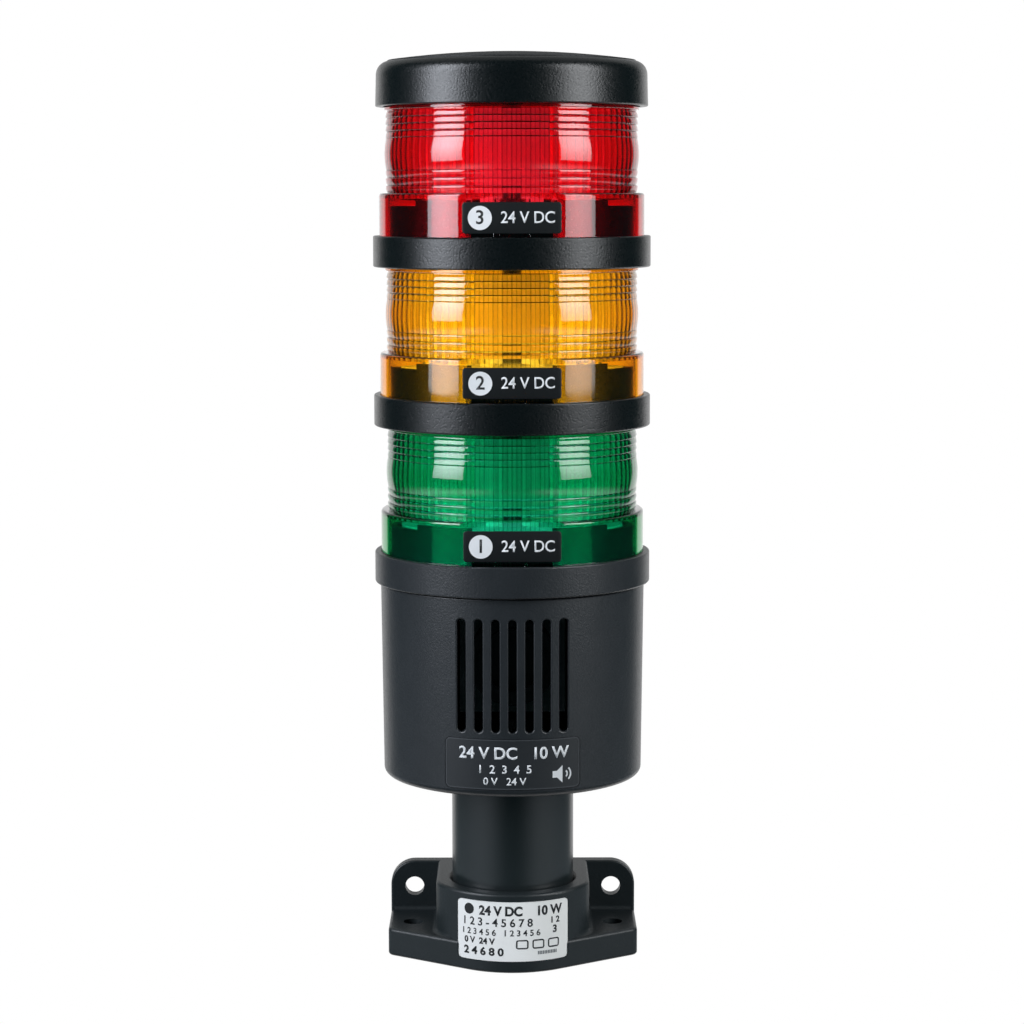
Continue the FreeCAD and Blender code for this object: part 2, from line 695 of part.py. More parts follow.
def sound_slots():
    """Round-ended slots through the front wall."""
    inside = math.sqrt((HOUSING_BOTTOM_RADIUS - HOUSING_WALL) ** 2 - SLOT_REACH**2) - SLOT_PAST_WALL
    half = SLOT_WIDTH / 2
    face = outline(
        front_plane,
        (half, SLOT_TOP - half),
        ((0, SLOT_TOP), (-half, SLOT_TOP - half)),
        (-half, SLOT_BOTTOM + half),
        ((0, SLOT_BOTTOM), (half, SLOT_BOTTOM + half)),
    )
    slots = []
    for index in range(SLOT_COUNT):
        place = Vector((index - (SLOT_COUNT - 1) / 2) * SLOT_PITCH, -RING_RADIUS, 0)
        slots.append(face.translated(place).extrude(BACKWARD * (RING_RADIUS - inside)))
    return slots


def is_slot_rim(edge):
    """Whether an edge of the housing is where a slot opens in the outer wall."""
    box = edge.BoundBox
    if box.YMax > 0 or max(-box.XMin, box.XMax) > SLOT_REACH + TOLERANCE:
        return False
    if box.ZMin < SLOT_BOTTOM - TOLERANCE or box.ZMax > SLOT_TOP + TOLERANCE:
        return False
    middle_of_wall = HOUSING_BOTTOM_RADIUS - HOUSING_WALL / 2
    return all(math.hypot(vertex.X, vertex.Y) > middle_of_wall for vertex in edge.Vertexes)


def front_plate_skin(inner_offset, outer_offset, grow):
    """A curved patch on the housing's drafted front, between two offsets from it."""
    bottom = HOUSING_BOTTOM + FRONT_PLATE_BOTTOM
    low, high = HOUSING_BOTTOM, bottom + FRONT_PLATE_HEIGHT + HOUSING_WALL
    shell = turned(
        (housing_radius(low) + inner_offset, low),
        (housing_radius(low) + outer_offset, low),
        (housing_radius(high) + outer_offset, high),
        (housing_radius(high) + inner_offset, high),
    )
    patch = rounded_panel(FRONT_PLATE_WIDTH + 2 * grow, FRONT_PLATE_HEIGHT + 2 * grow, bottom - grow,
                          FRONT_PLATE_CORNER_RADIUS + grow, -RING_RADIUS, 0)
    return patch.common(shell)


def sounder_housing():
    body = housing_shell().fuse(screw_posts() + board_guides()).removeSplitter()
    cuts = sound_slots() + [front_plate_skin(-LABEL_RECESS, HOUSING_WALL, LABEL_GAP)]
    for place in plate_screw_places():
        cuts.append(rod(SCREW_HOLE_RADIUS, TOP_PLATE_BOTTOM - PLATE_SCREW_DEPTH, TOP_PLATE_BOTTOM, *place))
    for place in tube_screw_places():
        cuts.append(rod(SCREW_PASSAGE_RADIUS, TUBE_TOP, WEB_TOP, *place))
    body = body.cut(cuts)
    return body.makeFillet(SLOT_EDGE_RADIUS, [edge for edge in body.Edges if is_slot_rim(edge)])


def housing_plate():
    return front_plate_skin(-LABEL_RECESS, LABEL_THICKNESS - LABEL_RECESS, 0)


def housing_seal():
    return ring(TOP_PLATE_RADIUS - SHELF_REACH, TOP_PLATE_RADIUS, SHELF_TOP, TOP_PLATE_BOTTOM)


def top_plate():
    """Lid of the housing, with the neck and lugs that the first module hooks on to."""
    plate = turned(
        (STEM_RADIUS + STEM_FIT, TOP_PLATE_BOTTOM),
        (TOP_PLATE_RADIUS, TOP_PLATE_BOTTOM),
        (TOP_PLATE_RADIUS, TOP_PLATE_TOP),
        (NECK_RADIUS, TOP_PLATE_TOP),
        (NECK_RADIUS, STACK_BOTTOM + NECK_TOP),
        (NECK_BORE, STACK_BOTTOM + NECK_TOP),
        (NECK_BORE, TOP_PLATE_TOP),
        (STEM_RADIUS + STEM_FIT, TOP_PLATE_TOP),
    )
    plate = plate.fuse(bayonet_lugs(STACK_BOTTOM)).removeSplitter()
    holes = [
        rod(SCREW_PASSAGE_RADIUS, TOP_PLATE_BOTTOM, TOP_PLATE_TOP, *place) for place in plate_screw_places()
    ]
    return plate.cut(holes)


def plate_screws():
    depth = TOP_PLATE_THICKNESS + SMALL_SCREW_DEPTH
    return Part.makeCompound([screw(place, TOP_PLATE_TOP, depth) for place in plate_screw_places()])


def base_socket():
    """Contact socket in the middle of the top plate, held by a flange on its underside."""
    top = STACK_BOTTOM + STEM_RISE
    flange = STEM_RADIUS + STEM_FOOT_REACH
    return turned(
        (0, TOP_PLATE_BOTTOM - STEM_FOOT_THICKNESS),
        (flange, TOP_PLATE_BOTTOM - STEM_FOOT_THICKNESS),
        (flange, TOP_PLATE_BOTTOM),
        (STEM_RADIUS, TOP_PLATE_BOTTOM),
        (STEM_RADIUS, top),
        (PIN_SOCKET_RADIUS, top),
        (PIN_SOCKET_RADIUS, top - PIN_SOCKET_DEPTH),
        (0, top - PIN_SOCKET_DEPTH),
    )


def control_board():
    half = CONTROL_WIDTH / 2
    return block((-half, half), (CONTROL_FRONT_Y, CONTROL_BACK_Y), (CONTROL_BOTTOM, CONTROL_TOP))


def facing_front(shape):
    """Turns a piece made about +Z, standing on the ground plane, to stand forward from the control board."""
    shape.rotate(ORIGIN, Vector(1, 0, 0), 90)
    shape.translate(Vector(0, CONTROL_FRONT_Y, SOUNDER_HEIGHT))
    return shape


def sounder_capsule():
    bore = SOUNDER_RADIUS - SOUNDER_WALL
    mouth = SOUNDER_LIP_RADIUS - SOUNDER_LIP_WALL
    capsule = turned(
        (0, 0),
        (SOUNDER_RADIUS, 0),
        (SOUNDER_RADIUS, SOUNDER_DEPTH),
        (SOUNDER_LIP_RADIUS, SOUNDER_DEPTH),
        (SOUNDER_LIP_RADIUS, SOUNDER_DEPTH + SOUNDER_LIP_HEIGHT),
        (mouth, SOUNDER_DEPTH + SOUNDER_LIP_HEIGHT),
        (mouth, SOUNDER_DEPTH - SOUNDER_WALL),
        (bore, SOUNDER_DEPTH - SOUNDER_WALL),
        (bore, DIAPHRAGM_DEPTH),
        (bore - DIAPHRAGM_SEAT, DIAPHRAGM_DEPTH),
        (bore - DIAPHRAGM_SEAT, SOUNDER_WALL),
        (0, SOUNDER_WALL),
    )
    return facing_front(capsule)


def sounder_diaphragm():
    radius = SOUNDER_RADIUS - SOUNDER_WALL - DIAPHRAGM_FIT
    return facing_front(rod(radius, DIAPHRAGM_DEPTH, DIAPHRAGM_DEPTH + DIAPHRAGM_THICKNESS))


def terminal_places():
    """Plan positions of the clamp screws, one for each way."""
    y = CONTROL_BACK_Y + TERMINAL_DEPTH / 2
    return [((index - (TERMINAL_WAYS - 1) / 2) * TERMINAL_PITCH, y) for index in range(TERMINAL_WAYS)]


def terminal_block():
    half = TERMINAL_WAYS * TERMINAL_PITCH / 2
    bottom = CONTROL_BOTTOM + TERMINAL_LIFT
    top = bottom + TERMINAL_HEIGHT
    back = CONTROL_BACK_Y + TERMINAL_DEPTH
    body = block((-half, half), (CONTROL_BACK_Y, back), (bottom, top))
    seat = top - TERMINAL_SCREW_SUNK - TERMINAL_SCREW_DEPTH
    wire_z = (bottom + seat) / 2
    cuts = []
    for x, y in terminal_places():
        cuts.append(rod(TERMINAL_SCREW / 2 + SCREW_FIT, seat, top, x, y))
        cuts.append(rod_along_y(TERMINAL_WIRE_HOLE / 2, y, back, x, wire_z))
    return body.cut(cuts)


def terminal_screws():
    top = CONTROL_BOTTOM + TERMINAL_LIFT + TERMINAL_HEIGHT - TERMINAL_SCREW_SUNK
    return Part.makeCompound(
        [rod(TERMINAL_SCREW / 2, top - TERMINAL_SCREW_DEPTH, top, *place) for place in terminal_places()]
    )


# Light module, made from the underside of its ring upwards

def coupling_ring():
    """Skirt with bayonet ledges below, deck, spigot and board posts above, and a groove for the collar."""
    groove = COLLAR_RADIUS + COLLAR_FIT
    plug_hole = PLUG_RADIUS + STEM_FIT
    body = turned(
        (SKIRT_BORE, 0),
        *lower_edge(RING_RADIUS, 0, RING_EDGE_RADIUS),
        *upper_edge(RING_RADIUS, RING_HEIGHT, RING_EDGE_RADIUS),
        (groove, RING_HEIGHT),
        (groove, DECK_TOP),
        (SPIGOT_RADIUS, DECK_TOP),
        (SPIGOT_RADIUS, SPIGOT_TOP),
        (SPIGOT_BORE, SPIGOT_TOP),
        (SPIGOT_BORE, DECK_TOP),
        (plug_hole, DECK_TOP),
        (plug_hole, DECK_BOTTOM),
        (SKIRT_BORE, DECK_BOTTOM),
    )
    window = math.sqrt(COLLAR_BORE**2 - PAD_Y**2) + WINDOW_GAP
    cuts = [block((-window, window), (-COLLAR_RADIUS, -SPIGOT_BORE / 2), (DECK_TOP, SPIGOT_TOP))]
    for middle in (0, 180):
        cuts.append(
            sector(SPIGOT_BORE - SPIGOT_GAP, SPIGOT_RADIUS + SPIGOT_GAP,
                   SPIGOT_TOP - SIDE_NOTCH_DEPTH, SPIGOT_TOP,
                   middle - SIDE_NOTCH_HALF_ANGLE, middle + SIDE_NOTCH_HALF_ANGLE)
        )
    body = body.cut(cuts)
    posts = [rod(POST_RADIUS, DECK_TOP, BOARD_BOTTOM, *place) for place in post_places()]
    body = body.fuse(posts + bayonet_ledges()).removeSplitter()
    hole_bottom = BOARD_BOTTOM - SMALL_SCREW_DEPTH
    return body.cut([rod(SCREW_HOLE_RADIUS, hole_bottom, BOARD_BOTTOM, *place) for place in post_places()])


def lens_wall_steps():
    """Outside of the ribbed wall, from collar to neck band. Each rib is widest towards the barrel."""
    steps = []
    for rib in range(LOWER_RIBS):
        bottom = COLLAR_TOP + rib * LOWER_RIB_HEIGHT
        steps.append((GROOVE_RADIUS, bottom))
        steps.append((CREST_RADIUS, bottom + LOWER_RIB_HEIGHT))
    steps.append((BARREL_RADIUS, BARREL_BOTTOM))
    middle = (BARREL_RADIUS + BARREL_BULGE, (BARREL_BOTTOM + BARREL_TOP) / 2)
    steps.append((middle, (BARREL_RADIUS, BARREL_TOP)))
    for rib in range(UPPER_RIBS):
        bottom = BARREL_TOP + rib * UPPER_RIB_HEIGHT
        steps.append((CREST_RADIUS, bottom))
        steps.append((GROOVE_RADIUS, bottom + UPPER_RIB_HEIGHT))
    steps.append((GROOVE_RADIUS, NECK_BAND_BOTTOM))
    return steps


def flutes():
    """A star prism that leaves upright V-shaped flutes on the inside of the ribbed wall."""
    bottom, top = COLLAR_TOP - LENS_SHOULDER, NECK_BAND_TOP - LENS_TOP_WEB
    corners = []
    for index in range(FLUTE_COUNT):
        corners.append(polar(FLUTE_RADIUS, index * 360 / FLUTE_COUNT))
        corners.append(polar(FLUTE_RADIUS - FLUTE_DEPTH, (index + 0.5) * 360 / FLUTE_COUNT))
    star = outline(plan_plane, *corners)
    star.translate(AXIS * bottom)
    return star.extrude(AXIS * (top - bottom))


def label_feet():
    """Two small feet at the bottom of the collar's flat, on which the label plate stands."""
    half = NAME_FOOT_WIDTH / 2
    return [
        block((x - half, x + half), (FLAT_Y - NAME_THICKNESS, FLAT_Y + FUSE_DEPTH),
              (RING_HEIGHT - FLAT_SUNK - FUSE_DEPTH, RING_HEIGHT + NAME_LIFT))
        for x in (-NAME_FOOT_SPACING / 2, NAME_FOOT_SPACING / 2)
    ]


def lens():
    """Collar, ribbed wall and neck in one moulding. A flat on the collar's front takes the label plate."""
    top = MODULE_PITCH + NECK_TOP
    body = turned(
        (0, DECK_TOP),
        (COLLAR_RADIUS, DECK_TOP),
        *upper_edge(COLLAR_RADIUS, COLLAR_TOP, COLLAR_EDGE_RADIUS),
        *lens_wall_steps(),
        (NECK_BAND_RADIUS, NECK_BAND_BOTTOM),
        (NECK_BAND_RADIUS, NECK_BAND_TOP),
        (NECK_RADIUS, NECK_BAND_TOP),
        (NECK_RADIUS, top),
        (0, top),
    )
    body = body.fuse(bayonet_lugs(MODULE_PITCH)).removeSplitter()
    bore_top = COLLAR_TOP - LENS_SHOULDER
    bore = rod(COLLAR_BORE, DECK_TOP, bore_top)
    across = (-COLLAR_RADIUS, COLLAR_RADIUS)
    pad = block(across, (-COLLAR_RADIUS, PAD_Y), (DECK_TOP, bore_top))
    flat = block(across, (-RING_RADIUS, FLAT_Y), (RING_HEIGHT - FLAT_SUNK, COLLAR_TOP))
    body = body.cut([bore.cut(pad), flutes(), rod(NECK_BORE, bore_top, top), flat])
    return body.fuse(label_feet()).removeSplitter()


def seal_ring():
    return ring(NECK_BORE, NECK_RADIUS, NECK_TOP + SEAL_GAP, DECK_BOTTOM)


def led_board():
    board = rod(LED_BOARD_RADIUS, BOARD_BOTTOM, BOARD_TOP)
    return board.cut([rod(SCREW_PASSAGE_RADIUS, BOARD_BOTTOM, BOARD_TOP, *place) for place in post_places()])


def board_screws():
    depth = BOARD_THICKNESS + SMALL_SCREW_DEPTH - SCREW_FIT
    return Part.makeCompound([screw(place, BOARD_TOP, depth) for place in post_places()])


def leds():
    half = LED_WIDTH / 2
    middle = LED_CIRCLE / 2
    chips = []
    for index in range(LED_COUNT):
        chip = block((middle - half, middle + half), (-half, half), (BOARD_TOP, BOARD_TOP + LED_HEIGHT))
        chip.rotate(ORIGIN, AXIS, (index + 0.5) * 360 / LED_COUNT)
        chips.append(chip)
    return Part.makeCompound(chips)


def contact_stem():
    """Stands on the LED board, carries the diffuser on its shoulder and ends in the next module's socket."""
    foot = STEM_RADIUS + STEM_FOOT_REACH
    shoulder = STEM_RADIUS + STEM_SHOULDER_REACH
    return turned(
        (0, BOARD_TOP),
        (foot, BOARD_TOP),
        (foot, BOARD_TOP + STEM_FOOT_THICKNESS),
        (STEM_RADIUS, BOARD_TOP + STEM_FOOT_THICKNESS),
        (STEM_RADIUS, DIFFUSER_BOTTOM - STEM_SHOULDER_THICKNESS),
        (shoulder, DIFFUSER_BOTTOM - STEM_SHOULDER_THICKNESS),
        (shoulder, DIFFUSER_BOTTOM),
        (STEM_RADIUS, DIFFUSER_BOTTOM),
        (STEM_RADIUS, STEM_TOP),
        (PIN_SOCKET_RADIUS, STEM_TOP),
        (PIN_SOCKET_RADIUS, STEM_TOP - PIN_SOCKET_DEPTH),
        (0, STEM_TOP - PIN_SOCKET_DEPTH),
    )


def contact_plug():
    """Pin on the axis that plugs into the tier below, so that the twist leaves it in contact."""
    flange = PLUG_RADIUS + PLUG_FLANGE_REACH
    flange_top = DECK_TOP + PLUG_FLANGE_THICKNESS
    return turned(
        (0, PIN_BOTTOM),
        (PIN_RADIUS, PIN_BOTTOM),
        (PIN_RADIUS, DECK_BOTTOM - PLUG_BELOW_DECK),
        (PLUG_RADIUS, DECK_BOTTOM - PLUG_BELOW_DECK),
        (PLUG_RADIUS, DECK_TOP),
        (flange, DECK_TOP),
        (flange, flange_top),
        (PIN_RADIUS, flange_top),
        (PIN_RADIUS, BOARD_BOTTOM),
        (0, BOARD_BOTTOM),
    )


def diffuser():
    """Frosted cup round the stem."""
    bore = DIFFUSER_RADIUS - DIFFUSER_WALL
    floor = DIFFUSER_BOTTOM + DIFFUSER_WALL
    top = DIFFUSER_BOTTOM + DIFFUSER_HEIGHT
    return turned(
        (STEM_RADIUS + STEM_FIT, DIFFUSER_BOTTOM),
        (DIFFUSER_RADIUS, DIFFUSER_BOTTOM),
        (DIFFUSER_RADIUS, top),
        (bore, top),
        (bore, floor),
        (STEM_RADIUS + STEM_FIT, floor),
    )


def label_plate():
    return rounded_panel(NAME_WIDTH, NAME_HEIGHT, RING_HEIGHT + NAME_LIFT, NAME_CORNER_RADIUS,
                         FLAT_Y - NAME_THICKNESS, FLAT_Y)


# Cap, made from its underside upwards

def top_cap():
    foot_radius = RING_RADIUS - CAP_INSET
    side_radius = foot_radius - CAP_DRAFT
    slope = 2 * math.atan(CAP_DOME_RISE / (side_radius - CAP_CORNER_RADIUS))
    turn = math.pi / 2 - slope

    def on_corner(angle):
        return (side_radius - CAP_CORNER_RADIUS * (1 - math.cos(angle)),
                CAP_SIDE + CAP_CORNER_RADIUS * math.sin(angle))

    edge_radius, edge_height = on_corner(turn)
    rise = edge_radius * math.tan(slope / 2)
    dome_radius = edge_radius / math.sin(slope)
    dome_bottom = edge_height + CAP_STEP
    half_height = dome_bottom + rise - dome_radius * (1 - math.cos(slope / 2))
    seat_bore = NECK_BORE - CAP_SEAT_WIDTH
    body = turned(
        (SKIRT_BORE, 0),
        *lower_edge(foot_radius, 0, CAP_EDGE_RADIUS),
        (side_radius, CAP_SIDE),
        (on_corner(turn / 2), (edge_radius, edge_height)),
        (edge_radius, dome_bottom),
        ((dome_radius * math.sin(slope / 2), half_height), (0, dome_bottom + rise)),
        (0, DECK_BOTTOM + CAP_CAVITY),
        (seat_bore, DECK_BOTTOM + CAP_CAVITY),
        (seat_bore, DECK_BOTTOM),
        (SKIRT_BORE, DECK_BOTTOM),
    )
    return body.fuse(bayonet_ledges()).removeSplitter()


def save(name, shape, height=0.0):
    shape.translated(AXIS * height).exportStep(os.path.join("parts", name + ".step"))


def main():
    os.makedirs("parts", exist_ok=True)
    for piece in (
        mounting_bracket, rating_label, tube_set_screw, pole_tube, tube_end_plug, tube_screws,
        sounder_housing, housing_plate, housing_seal, top_plate, plate_screws, base_socket,
        control_board, sounder_capsule, sounder_diaphragm, terminal_block, terminal_screws,
    ):
        save(piece.__name__, piece())
    module = {
        piece.__name__: piece()
        for piece in (coupling_ring, lens, seal_ring, led_board, board_screws, leds, contact_stem,
                      contact_plug, diffuser, label_plate)
    }
    for level, tier in enumerate(TIERS):
        for name, shape in module.items():
            save(f"{tier}_{name}", shape, STACK_BOTTOM + level * MODULE_PITCH)
    cap_base = STACK_BOTTOM + len(TIERS) * MODULE_PITCH
    save("top_cap", top_cap(), cap_base)
    save("cap_seal", seal_ring(), cap_base)


main()
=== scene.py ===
import json
import math

import bmesh
import bpy
from mathutils import Matrix, Vector


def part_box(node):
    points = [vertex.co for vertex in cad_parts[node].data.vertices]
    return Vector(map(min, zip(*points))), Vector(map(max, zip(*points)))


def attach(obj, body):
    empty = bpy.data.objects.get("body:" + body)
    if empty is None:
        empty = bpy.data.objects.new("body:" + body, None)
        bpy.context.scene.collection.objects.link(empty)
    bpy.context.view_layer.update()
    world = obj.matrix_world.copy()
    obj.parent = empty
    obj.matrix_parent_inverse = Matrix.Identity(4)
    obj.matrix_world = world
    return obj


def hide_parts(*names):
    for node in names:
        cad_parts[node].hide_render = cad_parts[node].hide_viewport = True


# A three-tier signal beacon tower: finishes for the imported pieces, clear fluted lenses, crowned label plates
# and plain prints. Lengths are millimetres, and the front faces -Y.

MM = 0.001
TIERS = ("green", "amber", "red")
TIER_NUMBERS = {"green": "1", "amber": "2", "red": "3"}
SMOOTH_DEGREES = 30.0
MERGE_DISTANCE = 0.001
CUT_DISTANCE = 0.0001
NEAR = 0.01
MARGIN = 0.1

# Camera, worked out from the photograph's 1024 pixel frame
IMAGE_PIXELS = 1024
FOCAL_PIXELS = 2700
SENSOR = 36.0
CAMERA_PLACE = (0.0, -684.6, 197.1)
CAMERA_DOWN_DEGREES = 6.8
CAMERA_ROLL_DEGREES = -0.085
CAMERA_YAW_DEGREES = 0.005
CAMERA_CLIP = 10.0

# Softboxes, each dimmer towards its two sides and its foot
SOFTBOX_SIDES = {"left": -1, "right": 1}
SOFTBOX_DISTANCE = 620.0
SOFTBOX_AZIMUTH_DEGREES = {"left": 59.6, "right": 59.0}
SOFTBOX_WIDTH = 344.0
SOFTBOX_BOTTOM = 103.0
SOFTBOX_HEIGHT = 620.0
SOFTBOX_MIDDLE = 0.5
SOFTBOX_SIDE_FADE = 0.35
SOFTBOX_FOOT_FADE = 0.54
SOFTBOX_FOOT_SHARE = 0.35
SOFTBOX_RADIANCE = {"left": 11.2, "right": 8.1}
SOFTBOX_COLOUR = {"left": (0.94, 0.98, 1.07), "right": (0.98, 1.0, 1.03)}

# Room, in shares of a direction's length. A triple is where a band starts and ends, and the share left in it.
BACKDROP_RADIANCE = 1.1
BACKDROP_HALF_WIDTH = 0.6
BACKDROP_FRONT_EDGE = -0.15
BACKDROP_BLUR = 0.08
BACKDROP_OVERHEAD = (0.1, 0.35, 0.35)
TABLE_COLOUR = (1.25, 1.4, 1.55, 1.0)
TABLE_NEAR = (-0.45, -0.34)
TABLE_FAR = (-0.22, -0.36)
TABLE_FRONT = (0.25, 0.65, 0.06)
TABLE_REAR = (-0.1, 0.6, 0.55)
WHITE = (1.0, 1.0, 1.0, 1.0)
ROOM_COLOUR = (0.011, 0.032, 0.036, 1.0)
FLOOR_SIZE = 6000.0

# Lens, from the underside of its module's ring
MODULE_PITCH = 39.9
FLUTE_COUNT = 84
FLUTE_STEPS = 6
FLUTE_DEPTH = 0.1
FLUTE_RADIUS = 30.0
LENS_WALL = 1.7
COLLAR_RADIUS = 33.4
COLLAR_BORE = 30.9
COLLAR_BORE_FOOT = 31.5
COLLAR_BOTTOM = 5.8
COLLAR_TOP = 18.45
COLLAR_EDGE = 0.7
COLLAR_EDGE_STEPS = 6
COLLAR_SHOULDER = 1.3
CREST_RADIUS = 31.7
RIB_DEPTH = 0.4
RIB_EDGE = 0.34
RIB_STEPS = 5
RIB_ROOTS = (0.36, 0.42, 0.48, 0.66)
RIB_ROOT_CURVE = 1.3
RIB_SLOPE = 0.2
SUPPORT = 0.04
LOWER_RIBS = 3
LOWER_RIB_HEIGHT = 1.9
UPPER_RIBS = 4
UPPER_RIB_HEIGHT = 1.675
BARREL_HEIGHT = 7.8
BARREL_RADIUS = 31.58
BARREL_BULGE = 0.42
BARREL_STEPS = 14
NECK_GROOVE = 0.35
BAND_RADIUS = 32.0
BAND_EDGE = 0.12
SHOULDER = MODULE_PITCH - 0.3
NECK_RADIUS = 30.4
NECK_BORE = 28.6
NECK_TOP = MODULE_PITCH + 2.9
LUG_BOTTOM = MODULE_PITCH + 1.45
LUG_TOP = MODULE_PITCH + 2.65
LUG_REACH = 1.5
LUG_COUNT = 4
LUG_HALF_DEGREES = 9.0
LENS_TOP_WEB = 0.9
FLAT_HALF = 12.45
FLAT_BOTTOM = 7.4
FLAT_STEP = 0.05
FLAT_WALL = 1.6
FLAT_Y = -math.sqrt(COLLAR_RADIUS**2 - FLAT_HALF**2)

# Label plate on each collar's flat
PLATE_WIDTH = 24.0
PLATE_HEIGHT = 7.6
PLATE_BOTTOM = 8.7
PLATE_THICKNESS = 0.7
PLATE_CORNER = 0.8
PLATE_CORNER_STEPS = 5
PLATE_CROWN = 0.5
PLATE_EDGE = 0.16
PLATE_EDGE_STEPS = 3
PLATE_STEPS = 24
PLATE_FOOT_X = 3.65
PLATE_FOOT_WIDTH = 0.6

# Surfaces that carry the prints
BOSS_ARC_RADIUS = 21.15
BOSS_ARC_Y = 1.65
FILM_SUNK = 0.1
HOUSING_FOOT = 48.4
HOUSING_FOOT_RADIUS = 33.0
HOUSING_FLARE = 0.6
HOUSING_HEIGHT = 49.45
HOUSING_DRAFT = HOUSING_FLARE / HOUSING_HEIGHT

# Prints. A row of lettering is its words, height, weight, place across, place up and stretch across.
PRINT_THICKNESS = 0.03
PRINT_SINK = 0.01
PRINT_STEP = 1.5
LETTER_SIZE = 1.37
LETTER_MERGE = 0.0005
DISC_STEPS = 40
NUMBER_DISC_RADIUS = 2.9
NUMBER_X = -7.7
NUMBER_HEIGHT = 3.4
NUMBER_WEIGHT = 0.06
LABEL_ROWS = (("24 V DC", 2.9, 0.04, 3.9, 0.0, 0.92),)
HOUSING_PRINT_HALF = 16.6
HOUSING_ROWS = (
    ("24 V DC   10 W", 3.0, 0.09, 0.3, 2.7, 1.0),
    ("1  2  3  4  5", 2.1, 0.05, -2.0, -1.3, 1.0),
    ("0 V   24 V", 1.9, 0.04, -2.0, -4.3, 1.0),
)
LOUDSPEAKER_HEIGHT = 5.2
LOUDSPEAKER_PLACE = (12.2, -2.7)
LOUDSPEAKER_HORN = ((-0.42, -0.16), (-0.2, -0.16), (0.08, -0.42), (0.08, 0.42), (-0.2, 0.16), (-0.42, 0.16))
WAVE_CENTRE = 0.12
WAVE_RADII = (0.16, 0.34)
WAVE_LINE = 0.08
WAVE_DEGREES = 90.0
WAVE_STEPS = 8
# The housing plate's rim line: inset, corner and width of a painted highlight along the groove round the plate
RIM_INSET = 0.15
RIM_CORNER = 1.2
RIM_LINE = 0.22
RATING_PRINT_HALF = 13.9
RATING_ROWS = (
    ("24 V DC    10 W", 2.4, 0.13, 2.2, 5.2, 0.95),
    ("1 2 3 - 4 5 6 7 8", 2.1, 0.055, -4.3, 2.2, 1.0),
    ("1 2", 1.6, 0.07, 11.2, 2.5, 1.0),
    ("3", 1.9, 0.09, 11.2, 0.1, 1.0),
    ("1 2 3 4 5 6   1 2 3 4 5 6", 1.6, 0.04, -3.4, -0.4, 1.0),
    ("0 V  24 V", 1.6, 0.08, -8.9, -2.7, 1.0),
    ("2 4 6 8 0", 2.0, 0.1, -7.8, -5.4, 1.1),
)
RATING_DOT_RADIUS = 1.4
RATING_DOT_PLACE = (-11.7, 5.4)
FIELD_COUNT = 3
FIELD_SIZE = (3.2, 2.4)
FIELD_CORNER = 0.6
FIELD_LINE = 0.35
FIELD_PLACE = (2.4, -3.3)
FIELD_PITCH = 4.2
BAR_COUNT = 12
BAR_SIZE = (0.3, 0.9)
BAR_CORNER = 0.06
BAR_CORNER_STEPS = 2
BAR_PLACE = (6.6, -5.6)
BAR_PITCH = 0.45

# Moulded finishes: darkest and lightest colour, roughness, grain size, grain depth, and shine if it differs
MOULDED_FINISHES = {
    "black_grained": ((0.0006, 0.002, 0.0024), (0.0009, 0.0026, 0.0031), (0.26, 0.34), 0.5, 0.065),
    "housing_grained": ((0.0158, 0.0184, 0.0212), (0.019, 0.0218, 0.0248), (0.32, 0.4), 0.5, 0.06),
    "housing_plate": ((0.0165, 0.019, 0.0215), (0.0185, 0.021, 0.024), (0.4, 0.48), 0.3, 0.004),
    "black_satin": ((0.011, 0.0155, 0.0172), (0.0125, 0.0172, 0.019), (0.38, 0.48), 0.5, 0.03),
    "tube_black": ((0.0082, 0.0122, 0.0132), (0.0094, 0.0136, 0.0148), (0.3, 0.35), 0.4, 0.003, 0.85),
    "label_black": ((0.003, 0.0042, 0.005), (0.004, 0.0052, 0.006), (0.4, 0.48), 0.3, 0.004),
    "label_silver": ((0.97, 0.96, 0.93), (1.0, 0.99, 0.96), (0.4, 0.5), 0.4, 0.001),
    "print_white": ((0.72, 0.74, 0.75), (0.82, 0.83, 0.84), (0.45, 0.6), 0.3, 0.003),
    "print_grey": ((0.16, 0.17, 0.18), (0.22, 0.23, 0.24), (0.45, 0.6), 0.3, 0.002),
    "print_black": ((0.01, 0.011, 0.012), (0.016, 0.017, 0.018), (0.45, 0.6), 0.3, 0.002),
    # A lighter line of painted highlight, for the lit edge of the groove round the housing plate
    "painted_rim_highlight": ((0.045, 0.05, 0.055), (0.055, 0.06, 0.066), (0.45, 0.6), 0.3, 0.002),
    "seal_rubber": ((0.006, 0.006, 0.006), (0.012, 0.012, 0.012), (0.7, 0.8), 0.4, 0.01),
    "circuit_board": ((0.6, 0.61, 0.6), (0.7, 0.7, 0.69), (0.35, 0.5), 0.5, 0.004),
    "led_white": ((0.75, 0.74, 0.65), (0.85, 0.84, 0.78), (0.2, 0.3), 0.4, 0.002),
    "terminal_green": ((0.02, 0.16, 0.07), (0.03, 0.2, 0.09), (0.4, 0.5), 0.4, 0.004),
}
NOISE_RANGE = (0.3, 0.7)
CLOUD_SIZE = 6.0
GRAIN_DETAIL = 3.0
PLASTIC_SHINE = 0.5

# The cap's matt dome: added roughness, rise of the dome and width of the change
CAP_MATT = 0.4
CAP_DOME_RISE = 2.1
CAP_DOME_EDGE = 0.5

# Metal finishes: darkest and lightest colour, and roughness
METAL_FINISHES = {
    "contact_brass": ((0.62, 0.45, 0.2), (0.75, 0.57, 0.28), (0.2, 0.35)),
    "steel_screw": ((0.5, 0.5, 0.51), (0.66, 0.66, 0.67), (0.25, 0.4)),
}
STREAK_SIZE = 0.8
STREAK_STRETCH = (1, 1, 6)
